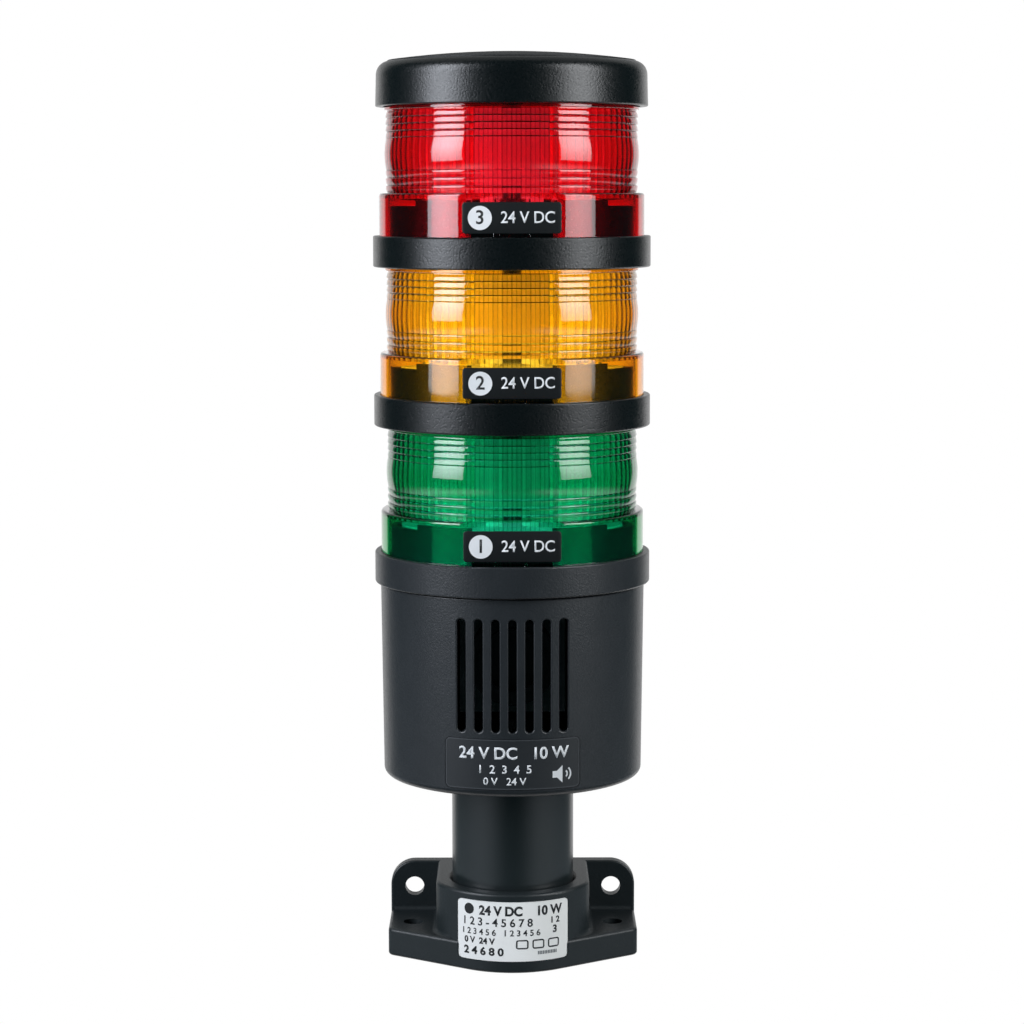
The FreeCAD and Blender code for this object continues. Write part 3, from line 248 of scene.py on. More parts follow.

# Clear lens plastic. A tint is the share of each colour that two walls let through. A flute's painted shade,
# darker lines that stand in for the light its inside bends aside, goes from its valley to its ridge.
LENS_TINTS = {"green": (0.01, 0.56, 0.29), "amber": (0.99, 0.63, 0.034), "red": (0.83, 0.022, 0.045)}
LENS_ROUGHNESS = (0.03, 0.06)
LENS_IOR = 1.585
LENS_SHINE = 0.6
FLOW_SIZE = 9.0
FLOW_STRETCH = (1, 1, 0.4)
FLUTE_SKIN = (0.1, 0.3)
FLUTE_ROUGHNESS = 0.1
PAINTED_FLUTE_SHADES = ((0.0, 0.24), (0.24, 1.0), (0.8, 1.0), (1.0, 0.46))

# Frosted diffusers: darkest and lightest colour of their flutes, which are stripes of painted shade and light.
# Each tier's tint is painted light: it stands in for the light that its lens tints on the way in, as the lens
# casts no shadow.
DIFFUSER_PAINTED_COLOURS = {
    "green": ((0.25, 0.37, 0.25), (0.54, 0.8, 0.54)),
    "amber": ((0.86, 0.58, 0.22), (1.0, 0.7, 0.28)),
    "red": ((0.8, 0.55, 0.55), (1.0, 0.7, 0.7)),
}
DIFFUSER_PAINTED_FLUTES = 30
DIFFUSER_CLEARNESS = 0.32
DIFFUSER_IOR = 1.49
DIFFUSER_GRAIN = 0.6
DIFFUSER_ROUGHNESS = (0.45, 0.65)

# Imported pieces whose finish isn't the one that their slot names
OWN_FINISHES = {
    "top_cap": "cap_grained",
    "sounder_housing": "housing_grained",
    "green_coupling_ring": "housing_grained",
    "housing_plate": "housing_plate",
    "green_diffuser": "diffuser_green",
    "amber_diffuser": "diffuser_amber",
    "red_diffuser": "diffuser_red",
}


# Mesh helpers

def soften(bm):
    """Smooth shading, with creases kept where faces meet at a clear angle."""
    for face in bm.faces:
        face.smooth = True
    for edge in bm.edges:
        edge.smooth = edge.calc_face_angle(0.0) < math.radians(SMOOTH_DEGREES)


def piece(bm, name, material, body):
    """Makes a mesh object in millimetres of the tower's frame, and lets it ride on a body."""
    bmesh.ops.transform(bm, matrix=Matrix.Scale(MM, 4), verts=bm.verts)
    mesh = bpy.data.meshes.new(name)
    bm.to_mesh(mesh)
    bm.free()
    mesh.materials.append(material)
    made = bpy.data.objects.new(name, mesh)
    bpy.context.scene.collection.objects.link(made)
    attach(made, body)
    return made


def turned(points, steps):
    """A closed outline of radii and heights, turned all the way round the axis."""
    bm = bmesh.new()
    corners = [bm.verts.new((radius, 0.0, height)) for radius, height in points]
    for before, after in zip(corners[-1:] + corners[:-1], corners):
        bm.edges.new((before, after))
    bmesh.ops.spin(bm, geom=bm.verts[:] + bm.edges[:], cent=(0, 0, 0), axis=(0, 0, 1),
                   angle=2 * math.pi, steps=steps, use_merge=True)
    bmesh.ops.remove_doubles(bm, verts=bm.verts, dist=MERGE_DISTANCE)
    bmesh.ops.recalc_face_normals(bm, faces=bm.faces)
    return bm


def raise_faces(bm, faces, move):
    """Extrudes faces and moves each new point by what a function of its place gives."""
    grown = bmesh.ops.extrude_face_region(bm, geom=faces)["geom"]
    for vert in grown:
        if isinstance(vert, bmesh.types.BMVert):
            vert.co += move(vert.co)


def stand_up(bm):
    """Turns a flat shape from the plane of x and y to that of x and z, where it faces the front."""
    bmesh.ops.rotate(bm, cent=(0, 0, 0), matrix=Matrix.Rotation(math.pi / 2, 3, "X"), verts=bm.verts)


def ring_bottom(tier):
    """Height of the underside of a module's ring."""
    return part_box(f"{tier}_coupling_ring")[0].z / MM


# Node helpers

def feed(tree, socket, value):
    """Sets a socket to a value, or links it to another node's output."""
    if isinstance(value, bpy.types.NodeSocket):
        tree.links.new(value, socket)
    else:
        socket.default_value = value


def worked(tree, operation, *values):
    """The result of a sum, a product or another operation."""
    node = tree.nodes.new("ShaderNodeMath")
    node.operation = operation
    for socket, value in zip(node.inputs, values):
        feed(tree, socket, value)
    return node.outputs["Value"]


def times(tree, one, other):
    """The product of two values."""
    return worked(tree, "MULTIPLY", one, other)


def mixed(tree, share, low, high, blend="MIX"):
    """Mixes two colours by a share."""
    node = tree.nodes.new("ShaderNodeMix")
    node.data_type = "RGBA"
    node.blend_type = blend
    feed(tree, node.inputs["Factor"], share)
    feed(tree, node.inputs["A"], low)
    feed(tree, node.inputs["B"], high)
    return node.outputs["Result"]


def ramp(tree, value, start, end, low, high):
    """Goes straight from low to high while a value goes from start to end."""
    node = tree.nodes.new("ShaderNodeMapRange")
    node.inputs["From Min"].default_value = start
    node.inputs["From Max"].default_value = end
    node.inputs["To Min"].default_value = low
    node.inputs["To Max"].default_value = high
    tree.links.new(value, node.inputs["Value"])
    return node.outputs["Result"]


def fade(tree, value, none, full):
    """A smooth step from nothing at one value to all of something at another."""
    start, end = sorted((none, full))
    share = ramp(tree, value, start, end, float(none > full), float(none < full))
    share.node.interpolation_type = "SMOOTHSTEP"
    return share


def split(tree, vector):
    """The x, y and z of a vector."""
    node = tree.nodes.new("ShaderNodeSeparateXYZ")
    tree.links.new(vector, node.inputs["Vector"])
    return node.outputs["X"], node.outputs["Y"], node.outputs["Z"]


def object_place(tree):
    """Where a point lies on the object, in metres."""
    return tree.nodes.new("ShaderNodeTexCoord").outputs["Object"]


def object_noise(tree, size, detail=2.0, stretch=(1, 1, 1)):
    """Noise whose grains are about this size, fixed to the object."""
    mapping = tree.nodes.new("ShaderNodeMapping")
    mapping.inputs["Scale"].default_value = stretch
    noise = tree.nodes.new("ShaderNodeTexNoise")
    noise.inputs["Scale"].default_value = 1 / (size * MM)
    noise.inputs["Detail"].default_value = detail
    tree.links.new(object_place(tree), mapping.inputs["Vector"])
    tree.links.new(mapping.outputs["Vector"], noise.inputs["Vector"])
    return noise.outputs["Fac"]


def spread(tree, noise, low, high):
    """Stretches the middle of a noise to a range."""
    return ramp(tree, noise, *NOISE_RANGE, low, high)


def mottled(tree, share, dark, light):
    """A colour that varies from dark to light by a share."""
    return mixed(tree, share, (*dark, 1), (*light, 1))


def round_wave(tree, count):
    """A wave that rises and falls so many times round the tower's axis."""
    turn = tree.nodes.new("ShaderNodeTexGradient")
    turn.gradient_type = "RADIAL"
    tree.links.new(object_place(tree), turn.inputs["Vector"])
    return worked(tree, "PINGPONG", times(tree, turn.outputs["Fac"], 2 * count), 1.0)


def axis_distance(tree):
    """How far a point lies from the tower's axis."""
    level = tree.nodes.new("ShaderNodeVectorMath")
    level.operation = "MULTIPLY"
    level.inputs[1].default_value = (1, 1, 0)
    length = tree.nodes.new("ShaderNodeVectorMath")
    length.operation = "LENGTH"
    tree.links.new(object_place(tree), level.inputs[0])
    tree.links.new(level.outputs["Vector"], length.inputs[0])
    return length.outputs["Value"]


# Materials

def shader(name):
    """A new material, its nodes and its shader."""
    material = bpy.data.materials.new(name)
    material.use_nodes = True
    return material, material.node_tree, material.node_tree.nodes["Principled BSDF"]


def moulded(name, dark, light, rough, grain, depth, shine=PLASTIC_SHINE):
    """Moulded plastic: mottled colour, roughness that varies, and a fine eroded grain."""
    material, tree, bsdf = shader(name)
    bsdf.inputs["Specular IOR Level"].default_value = shine
    cloud = spread(tree, object_noise(tree, CLOUD_SIZE, GRAIN_DETAIL), 0, 1)
    tree.links.new(mottled(tree, cloud, dark, light), bsdf.inputs["Base Color"])
    speck = object_noise(tree, grain, GRAIN_DETAIL)
    tree.links.new(spread(tree, speck, *rough), bsdf.inputs["Roughness"])
    bump = tree.nodes.new("ShaderNodeBump")
    bump.inputs["Strength"].default_value = 1.0
    bump.inputs["Distance"].default_value = depth * MM
    tree.links.new(speck, bump.inputs["Height"])
    tree.links.new(bump.outputs["Normal"], bsdf.inputs["Normal"])
    return material


def matt_domed(name, finish):
    """The grained plastic of the cap, whose domed top is matt."""
    material = moulded(name, *finish)
    tree = material.node_tree
    gloss = tree.nodes["Principled BSDF"].inputs["Roughness"]
    height = split(tree, object_place(tree))[2]
    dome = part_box("top_cap")[1].z - CAP_DOME_RISE * MM
    matt = ramp(tree, height, dome - CAP_DOME_EDGE * MM, dome, 0.0, CAP_MATT)
    tree.links.new(worked(tree, "ADD", gloss.links[0].from_socket, matt), gloss)
    return material


def metal(name, dark, light, rough):
    """Turned or drawn metal with faint streaks."""
    material, tree, bsdf = shader(name)
    bsdf.inputs["Metallic"].default_value = 1.0
    streak = object_noise(tree, STREAK_SIZE, GRAIN_DETAIL, STREAK_STRETCH)
    tree.links.new(mottled(tree, spread(tree, streak, 0, 1), dark, light), bsdf.inputs["Base Color"])
    tree.links.new(spread(tree, streak, *rough), bsdf.inputs["Roughness"])
    return material


def painted_flute_shade(tree):
    """Painted shade: darker lines in the valleys and along the ridges of the flutes, which stand in for the
    light that the plastic bends aside there.
    """
    shades = tree.nodes.new("ShaderNodeValToRGB")
    stops = shades.color_ramp.elements
    while len(stops) < len(PAINTED_FLUTE_SHADES):
        stops.new(1.0)
    for stop, (place, shade) in zip(stops, PAINTED_FLUTE_SHADES):
        stop.position = place
        stop.color = (shade, shade, shade, 1)
    tree.links.new(round_wave(tree, FLUTE_COUNT), shades.inputs["Fac"])
    return shades.outputs["Color"]


def clear_tint(name, tint):
    """Clear plastic that tints light at its skin, and more with the depth that the light goes through.
    Its gloss has the faint flow marks of a moulding, and the fluted inside is rougher, with darker lines of
    painted shade."""
    material, tree, bsdf = shader(name)
    loss = [-math.log(share) / (2 * LENS_WALL * MM) for share in tint]
    depth = tree.nodes.new("ShaderNodeVolumeAbsorption")
    depth.inputs["Density"].default_value = max(loss)
    depth.inputs["Color"].default_value = (*(1 - part / max(loss) for part in loss), 1)
    tree.links.new(depth.outputs["Volume"], tree.nodes["Material Output"].inputs["Volume"])
    bsdf.inputs["Transmission Weight"].default_value = 1.0
    bsdf.inputs["IOR"].default_value = LENS_IOR
    bsdf.inputs["Specular IOR Level"].default_value = LENS_SHINE
    flow = spread(tree, object_noise(tree, FLOW_SIZE, stretch=FLOW_STRETCH), *LENS_ROUGHNESS)
    start, end = ((FLUTE_RADIUS + past) * MM for past in FLUTE_SKIN)
    inside = ramp(tree, axis_distance(tree), start, end, 1.0, 0.0)
    tree.links.new(worked(tree, "MULTIPLY_ADD", inside, FLUTE_ROUGHNESS, flow), bsdf.inputs["Roughness"])
    skin = (*(math.sqrt(share) for share in tint), 1)
    # The fluted inside's base colour carries the painted shade of the flutes
    tree.links.new(mixed(tree, inside, skin, painted_flute_shade(tree), "MULTIPLY"), bsdf.inputs["Base Color"])
    return material


def frosted(name, dark, light):
    """Frosted clear plastic, with fine upright flutes round the tower's axis painted as stripes of shade and
    light, in a tint of painted light from its lens.
    """
    material, tree, bsdf = shader(name)
    # The flutes are painted shade and light in the base colour, in the tier's painted tint
    colour = mottled(tree, round_wave(tree, DIFFUSER_PAINTED_FLUTES), dark, light)
    tree.links.new(colour, bsdf.inputs["Base Color"])
    bsdf.inputs["Transmission Weight"].default_value = DIFFUSER_CLEARNESS
    bsdf.inputs["IOR"].default_value = DIFFUSER_IOR
    frost = spread(tree, object_noise(tree, DIFFUSER_GRAIN), *DIFFUSER_ROUGHNESS)
    tree.links.new(frost, bsdf.inputs["Roughness"])
    return material


def make_materials():
    """Every finish, by the name of its slot or by its own."""
    made = {name: moulded(name, *finish) for name, finish in MOULDED_FINISHES.items()}
    made["cap_grained"] = matt_domed("cap_grained", MOULDED_FINISHES["black_grained"])
    for name, finish in METAL_FINISHES.items():
        made[name] = metal(name, *finish)
    for tier in TIERS:
        made[f"lens_{tier}"] = clear_tint(f"lens_{tier}", LENS_TINTS[tier])
        made[f"diffuser_{tier}"] = frosted(f"diffuser_{tier}", *DIFFUSER_PAINTED_COLOURS[tier])
    return made


def finish_packed_pieces(frame, materials):
    """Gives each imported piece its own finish, or else the one that its slot names."""
    for row in frame["record"]["subparts"]:
        finish = OWN_FINISHES.get(row["node"], row["material_slot"])
        node = frame["nodes"][row["node"]]
        node.data.materials.clear()
        node.data.materials.append(materials[finish])


# Lenses

def lower_rib(bottom):
    """A rib below the barrel: a slope out from its groove that ends in a rounded crest."""
    length = LOWER_RIB_HEIGHT - RIB_EDGE
    points = []
    for step in range(RIB_STEPS):
        share = step / (RIB_STEPS - 1)
        points.append((CREST_RADIUS - RIB_DEPTH * (1 - share) ** 2, bottom + length * share))
    for step in range(1, RIB_STEPS):
        angle = math.pi / 2 * step / (RIB_STEPS - 1)
        points.append((CREST_RADIUS - RIB_EDGE * (1 - math.cos(angle)),
                       bottom + length + RIB_EDGE * math.sin(angle)))
    return points


def upper_rib(bottom, root):
    """A rib above the barrel: a rounded crest below, a flat face that leans in, and a steep root above."""
    points = []
    for step in range(RIB_STEPS):
        angle = math.pi / 2 * step / (RIB_STEPS - 1)
        points.append((CREST_RADIUS - RIB_EDGE * (1 - math.sin(angle)),
                       bottom + RIB_EDGE * (1 - math.cos(angle))))
    low = bottom + RIB_EDGE
    high = bottom + UPPER_RIB_HEIGHT - root
    for height in (low + SUPPORT, low + 3 * SUPPORT, high - 2 * SUPPORT, high):
        points.append((CREST_RADIUS - RIB_SLOPE * (height - low), height))
    start = points[-1][0]
    for step in range(1, RIB_STEPS):
        share = step / (RIB_STEPS - 1)
        inward = (start - CREST_RADIUS + RIB_DEPTH) * share**RIB_ROOT_CURVE
        points.append((start - inward, high + root * share))
    return points


def lens_outline():
    """Radii and heights round the lens wall's section, anticlockwise from the foot of the collar."""
    lower = COLLAR_TOP + LOWER_RIBS * LOWER_RIB_HEIGHT
    upper = lower + BARREL_HEIGHT
    band = upper + UPPER_RIBS * UPPER_RIB_HEIGHT + NECK_GROOVE
    web = SHOULDER - LENS_TOP_WEB
    inner_shoulder = COLLAR_TOP - COLLAR_SHOULDER
    collar_heights = (COLLAR_BOTTOM, FLAT_BOTTOM - FLAT_STEP, FLAT_BOTTOM, PLATE_BOTTOM,
                      COLLAR_TOP - COLLAR_EDGE - 2 * SUPPORT)
    points = [(COLLAR_RADIUS, height) for height in collar_heights]
    for step in range(COLLAR_EDGE_STEPS + 1):
        angle = math.radians(90 * step / COLLAR_EDGE_STEPS)
        points.append((COLLAR_RADIUS - COLLAR_EDGE * (1 - math.cos(angle)),
                       COLLAR_TOP - COLLAR_EDGE * (1 - math.sin(angle))))
    for rib in range(LOWER_RIBS):
        points += lower_rib(COLLAR_TOP + rib * LOWER_RIB_HEIGHT)
    for step in range(BARREL_STEPS + 1):
        share = step / BARREL_STEPS
        bulge = BARREL_BULGE * (1 - (2 * share - 1) ** 2)
        points.append((BARREL_RADIUS + bulge, lower + BARREL_HEIGHT * share))
    for rib in range(UPPER_RIBS):
        points += upper_rib(upper + rib * UPPER_RIB_HEIGHT, RIB_ROOTS[rib])
    points += [(CREST_RADIUS - RIB_DEPTH, band), (BAND_RADIUS - BAND_EDGE, band),
               (BAND_RADIUS, band + BAND_EDGE), (BAND_RADIUS, SHOULDER)]
    points += [(NECK_RADIUS, height) for height in (SHOULDER, LUG_BOTTOM, LUG_TOP, NECK_TOP)]
    points += [(NECK_BORE, NECK_TOP), (NECK_BORE, web), (FLUTE_RADIUS, web), (FLUTE_RADIUS, inner_shoulder),
               (COLLAR_BORE, inner_shoulder), (COLLAR_BORE_FOOT, COLLAR_BOTTOM)]
    return points


def flute_rise(angle):
    """How far a flute's ridge stands in from the wall, as a share of its depth."""
    phase = (angle * FLUTE_COUNT / (2 * math.pi)) % 1.0
    return 1 - (2 * phase - 1) ** 2


def is_lug(face):
    """Whether a face of the neck lies where a bayonet lug stands out."""
    middle = face.calc_center_median()
    pitch = 360 / LUG_COUNT
    turn = math.degrees(math.atan2(middle.y, middle.x)) % pitch - pitch / 2
    on_neck = math.hypot(middle.x, middle.y) > NECK_RADIUS - MARGIN
    return LUG_BOTTOM < middle.z < LUG_TOP and on_neck and abs(turn) < LUG_HALF_DEGREES


def is_plate_foot(face):
    """Whether a face of the collar's flat lies where a foot for the label plate stands out."""
    middle = face.calc_center_median()
    on_flat = FLAT_BOTTOM < middle.z < PLATE_BOTTOM and middle.y < FLAT_Y + MARGIN
    return on_flat and abs(abs(middle.x) - PLATE_FOOT_X) < PLATE_FOOT_WIDTH / 2


def shape_wall(bm):
    """Presses the flutes into the inside of the wall, and the flat into both sides of the collar."""
    for vert in bm.verts:
        radius = math.hypot(vert.co.x, vert.co.y)
        if abs(radius - FLUTE_RADIUS) < NEAR:
            inward = FLUTE_DEPTH * flute_rise(math.atan2(vert.co.y, vert.co.x))
            vert.co.xy *= (radius - inward) / radius
        elif radius < COLLAR_BORE_FOOT + NEAR and vert.co.z < COLLAR_TOP - COLLAR_SHOULDER + NEAR:
            vert.co.y = max(vert.co.y, FLAT_Y + FLAT_WALL)
        elif FLAT_BOTTOM - NEAR < vert.co.z < COLLAR_TOP + NEAR and radius > CREST_RADIUS + MARGIN:
            vert.co.y = max(vert.co.y, FLAT_Y)


def make_lens_form():
    """The moulding that the three lenses share, with the underside of its ring at height nought."""
    bm = turned(lens_outline(), FLUTE_COUNT * FLUTE_STEPS)
    shape_wall(bm)
    raise_faces(bm, [face for face in bm.faces if is_lug(face)],
                lambda place: Vector((place.x, place.y, 0)).normalized() * LUG_REACH)
    raise_faces(bm, [face for face in bm.faces if is_plate_foot(face)],
                lambda place: Vector((0, -PLATE_THICKNESS, 0)))
    bmesh.ops.recalc_face_normals(bm, faces=bm.faces)
    soften(bm)
    for edge in bm.edges:
        upright = abs(edge.verts[0].co.z - edge.verts[1].co.z) > BARREL_HEIGHT
        if upright and all(math.hypot(*vert.co.xy) < FLUTE_RADIUS + NEAR for vert in edge.verts):
            edge.smooth = True
    return bm


def make_lens(tier, form, material):
    """A tier's lens, which casts no shadow, because light goes through it."""
    bm = form.copy()
    bmesh.ops.translate(bm, verts=bm.verts, vec=(0, 0, ring_bottom(tier)))
    made = piece(bm, f"{tier}_lens_moulding", material, f"{tier}_module")
    made.visible_shadow = False
    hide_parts(f"{tier}_lens")


# Label plates

def rounded_card(width, height, corner, steps=PLATE_CORNER_STEPS):
    """A flat card about the origin, in the plane of x and z, with round corners."""
    bm = bmesh.new()
    bmesh.ops.create_grid(bm, x_segments=1, y_segments=1, size=0.5)
    bmesh.ops.scale(bm, vec=(width, height, 1), verts=bm.verts)
    bmesh.ops.bevel(bm, geom=bm.verts[:], offset=corner, offset_type="OFFSET", affect="VERTICES",
                    segments=steps, profile=0.5, material=-1)
    stand_up(bm)
    return bm


def slice_across(bm, half_width, step):
    """Cuts a mesh at even places across its width, so that it can follow a curve."""
    count = int(2 * half_width / step)
    for index in range(1, count):
        x = -half_width + 2 * half_width * index / count
        bmesh.ops.bisect_plane(bm, geom=bm.verts[:] + bm.edges[:] + bm.faces[:], dist=CUT_DISTANCE,
                               plane_co=(x, 0, 0), plane_no=(1, 0, 0))


def plate_crown(x):
    """How far the plate's front falls back at this place across it."""
    return PLATE_CROWN * (2 * x / PLATE_WIDTH) ** 2


def make_label_plate(tier, material):
    """A black plate with softened edges and a slight crown across its front."""
    bm = rounded_card(PLATE_WIDTH, PLATE_HEIGHT, PLATE_CORNER)
    raise_faces(bm, bm.faces[:], lambda place: Vector((0, -PLATE_THICKNESS, 0)))
    bmesh.ops.contextual_create(bm, geom=[edge for edge in bm.edges if edge.is_boundary])
    bmesh.ops.recalc_face_normals(bm, faces=bm.faces)
    rim = [edge for edge in bm.edges if all(vert.co.y < -PLATE_THICKNESS / 2 for vert in edge.verts)]
    bmesh.ops.bevel(bm, geom=rim, offset=PLATE_EDGE, offset_type="OFFSET", affect="EDGES",
                    segments=PLATE_EDGE_STEPS, profile=0.5, material=-1)
    slice_across(bm, PLATE_WIDTH / 2, PLATE_WIDTH / PLATE_STEPS)
    for vert in bm.verts:
        if vert.co.y < -PLATE_THICKNESS / 2 + NEAR:
            vert.co.y += plate_crown(vert.co.x)
    middle = (0, FLAT_Y, ring_bottom(tier) + PLATE_BOTTOM + PLATE_HEIGHT / 2)
    bmesh.ops.translate(bm, verts=bm.verts, vec=middle)
    soften(bm)
    made = piece(bm, f"{tier}_label_panel", material, f"{tier}_module")
    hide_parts(f"{tier}_label_plate")


# Prints

def lettering(words, height, weight):
    """Plain lettering about the origin, in the plane of x and z. Weight makes the strokes broader."""
    curve = bpy.data.curves.new("lettering", "FONT")
    curve.body = words
    curve.size = height * LETTER_SIZE
    curve.offset = weight
    curve.align_x = "CENTER"
    curve.align_y = "CENTER"
    holder = bpy.data.objects.new("lettering", curve)
    mesh = bpy.data.meshes.new_from_object(holder)
    bm = bmesh.new()
    bm.from_mesh(mesh)
    bpy.data.objects.remove(holder)
    bpy.data.curves.remove(curve)
    bpy.data.meshes.remove(mesh)
    bmesh.ops.remove_doubles(bm, verts=bm.verts, dist=LETTER_MERGE)
    stand_up(bm)
    return bm


def disc(radius):
    """A flat disc about the origin, in the plane of x and z."""
    bm = bmesh.new()
    bmesh.ops.create_circle(bm, cap_ends=True, segments=DISC_STEPS, radius=radius)
    stand_up(bm)
    return bm


def border(width, height, corner, line):
    """A thin line along the edge of a card with round corners."""
    bm = bmesh.new()
    for inward in (0.0, line):
        card = rounded_card(width - 2 * inward, height - 2 * inward, corner - inward)
        bmesh.ops.delete(card, geom=card.faces[:], context="FACES_ONLY")
        join_at(bm, card, 0.0, 0.0)
    bmesh.ops.bridge_loops(bm, edges=bm.edges[:])
    return bm


def loudspeaker(height):
    """A plain pictogram of a loudspeaker with two sound waves."""
    bm = bmesh.new()
    bm.faces.new([bm.verts.new((x * height, 0, z * height)) for x, z in LOUDSPEAKER_HORN])
    centre = Vector((WAVE_CENTRE * height, 0, 0))
    upward = math.radians(WAVE_DEGREES / 2)
    ray = Vector((math.cos(upward), 0, math.sin(upward))) * height
    for radius in WAVE_RADII:
        ends = [bm.verts.new(centre + ray * reach) for reach in (radius, radius + WAVE_LINE)]
        bmesh.ops.spin(bm, geom=ends + [bm.edges.new(ends)], cent=centre, axis=(0, 1, 0),
                       angle=math.radians(WAVE_DEGREES), steps=WAVE_STEPS)
    return bm


def join_at(target, part, x, z, stretch=1.0):
    """Moves a flat part to its place and adds it to a print."""
    bmesh.ops.scale(part, vec=(stretch, 1, 1), verts=part.verts)
    bmesh.ops.translate(part, verts=part.verts, vec=(x, 0, z))
    mesh = bpy.data.meshes.new("part")
    part.to_mesh(mesh)
    part.free()
    target.from_mesh(mesh)
    bpy.data.meshes.remove(mesh)


def join_rows(target, rows):
    """Adds rows of lettering to a print."""
    for words, height, weight, x, z, stretch in rows:
        join_at(target, lettering(words, height, weight), x, z, stretch)


def make_print(bm, name, material, body, place, half_width):
    """Gives a flat print its thickness and lays it on a surface, given as a function of x, z and height."""
    slice_across(bm, half_width, PRINT_STEP)
    bmesh.ops.recalc_face_normals(bm, faces=bm.faces)
    raise_faces(bm, bm.faces[:], lambda co: Vector((0, -PRINT_THICKNESS, 0)))
    for vert in bm.verts:
        height = PRINT_THICKNESS if vert.co.y < -PRINT_THICKNESS / 2 else -PRINT_SINK
        vert.co = place(vert.co.x, vert.co.z, height)
    bmesh.ops.recalc_face_normals(bm, faces=bm.faces)
    made = piece(bm, name, material, body)


def on_round(radius, x, y, z):
    """The point of an upright round surface, with its axis at y, that lies so far round from its front."""
    return Vector((radius * math.sin(x / radius), y - radius * math.cos(x / radius), z))


def make_label_print(tier, white, black):
    """The tier's number on a white disc, and the supply, on the label plate."""
    middle = ring_bottom(tier) + PLATE_BOTTOM + PLATE_HEIGHT / 2

    def on_plate(x, z, height):
        return Vector((x, FLAT_Y - PLATE_THICKNESS + plate_crown(x) - height, middle + z))

    def on_disc(x, z, height):
        return on_plate(x, z, height + PRINT_THICKNESS)

    bm = bmesh.new()
    join_at(bm, disc(NUMBER_DISC_RADIUS), NUMBER_X, 0.0)
    join_rows(bm, LABEL_ROWS)
    make_print(bm, f"{tier}_label_print", white, f"{tier}_module", on_plate, PLATE_WIDTH / 2)
    bm = bmesh.new()
    join_at(bm, lettering(TIER_NUMBERS[tier], NUMBER_HEIGHT, NUMBER_WEIGHT), NUMBER_X, 0.0)
    make_print(bm, f"{tier}_label_number", black, f"{tier}_module", on_disc, PLATE_WIDTH / 2)


def make_housing_print(white, rim):
    """The supply, terminal numbers and a loudspeaker printed on the housing's front plate, and a rim line of
    painted highlight for the lit edge of the groove round it.
    """
    low, high = (corner.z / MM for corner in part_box("housing_plate"))
    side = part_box("housing_plate")[1].x / MM
    half_arc = HOUSING_FOOT_RADIUS * math.asin(side / HOUSING_FOOT_RADIUS) - RIM_INSET
    middle = (low + high) / 2

    def on_plate(x, z, height):
        radius = HOUSING_FOOT_RADIUS + HOUSING_DRAFT * (middle + z - HOUSING_FOOT) - FILM_SUNK + height
        return on_round(radius, x, 0.0, middle + z)

    bm = bmesh.new()
    join_rows(bm, HOUSING_ROWS)
    join_at(bm, loudspeaker(LOUDSPEAKER_HEIGHT), *LOUDSPEAKER_PLACE)
    make_print(bm, "housing_plate_print", white, "base", on_plate, HOUSING_PRINT_HALF)
    # The rim line is painted highlight where the groove round the plate catches the light
    bm = border(2 * half_arc, high - low - 2 * RIM_INSET, RIM_CORNER, RIM_LINE)
    make_print(bm, "housing_plate_painted_rim", rim, "base", on_plate, half_arc)


def make_rating_print(black, grey):
    """Rows of plain numbers, blank fields and small bars on the label of the foot."""
    low, high = (corner.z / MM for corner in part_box("rating_label"))
    middle = (low + high) / 2

    def on_boss(x, z, height):
        return on_round(BOSS_ARC_RADIUS - FILM_SUNK + height, x, BOSS_ARC_Y, middle + z)

    bm = bmesh.new()
    join_at(bm, disc(RATING_DOT_RADIUS), *RATING_DOT_PLACE)
    join_rows(bm, RATING_ROWS)
    for index in range(FIELD_COUNT):
        field = border(*FIELD_SIZE, FIELD_CORNER, FIELD_LINE)
        join_at(bm, field, FIELD_PLACE[0] + FIELD_PITCH * index, FIELD_PLACE[1])
    make_print(bm, "rating_label_print", black, "base", on_boss, RATING_PRINT_HALF)
    bm = bmesh.new()
    for index in range(BAR_COUNT):
        bar = rounded_card(*BAR_SIZE, BAR_CORNER, BAR_CORNER_STEPS)
        join_at(bm, bar, BAR_PLACE[0] + BAR_PITCH * index, BAR_PLACE[1])
    make_print(bm, "rating_label_marks", grey, "base", on_boss, RATING_PRINT_HALF)


# Studio

def table_share(tree, aside, rearward, upward):
    """Where the pale table is seen: a band below the tower, dimmer in front and at the rear."""
    low = times(tree, fade(tree, upward, *TABLE_FAR), fade(tree, upward, *TABLE_NEAR))
    start, end, dim = TABLE_FRONT
    front = ramp(tree, aside, start, end, dim, 1.0)
    start, end, dim = TABLE_REAR
    rear = ramp(tree, rearward, start, end, 1.0, dim)
    return times(tree, low, times(tree, front, rear))


def backdrop_share(tree, aside, rearward, upward):
    """Where the white backdrop is seen: behind the tower, and dimmer overhead."""
    blur = BACKDROP_BLUR / 2
    within = fade(tree, aside, BACKDROP_HALF_WIDTH + blur, BACKDROP_HALF_WIDTH - blur)
    behind = fade(tree, rearward, BACKDROP_FRONT_EDGE - blur, BACKDROP_FRONT_EDGE + blur)
    start, end, dim = BACKDROP_OVERHEAD
    overhead = ramp(tree, upward, start, end, 1.0, dim)
    return times(tree, times(tree, within, behind), overhead)


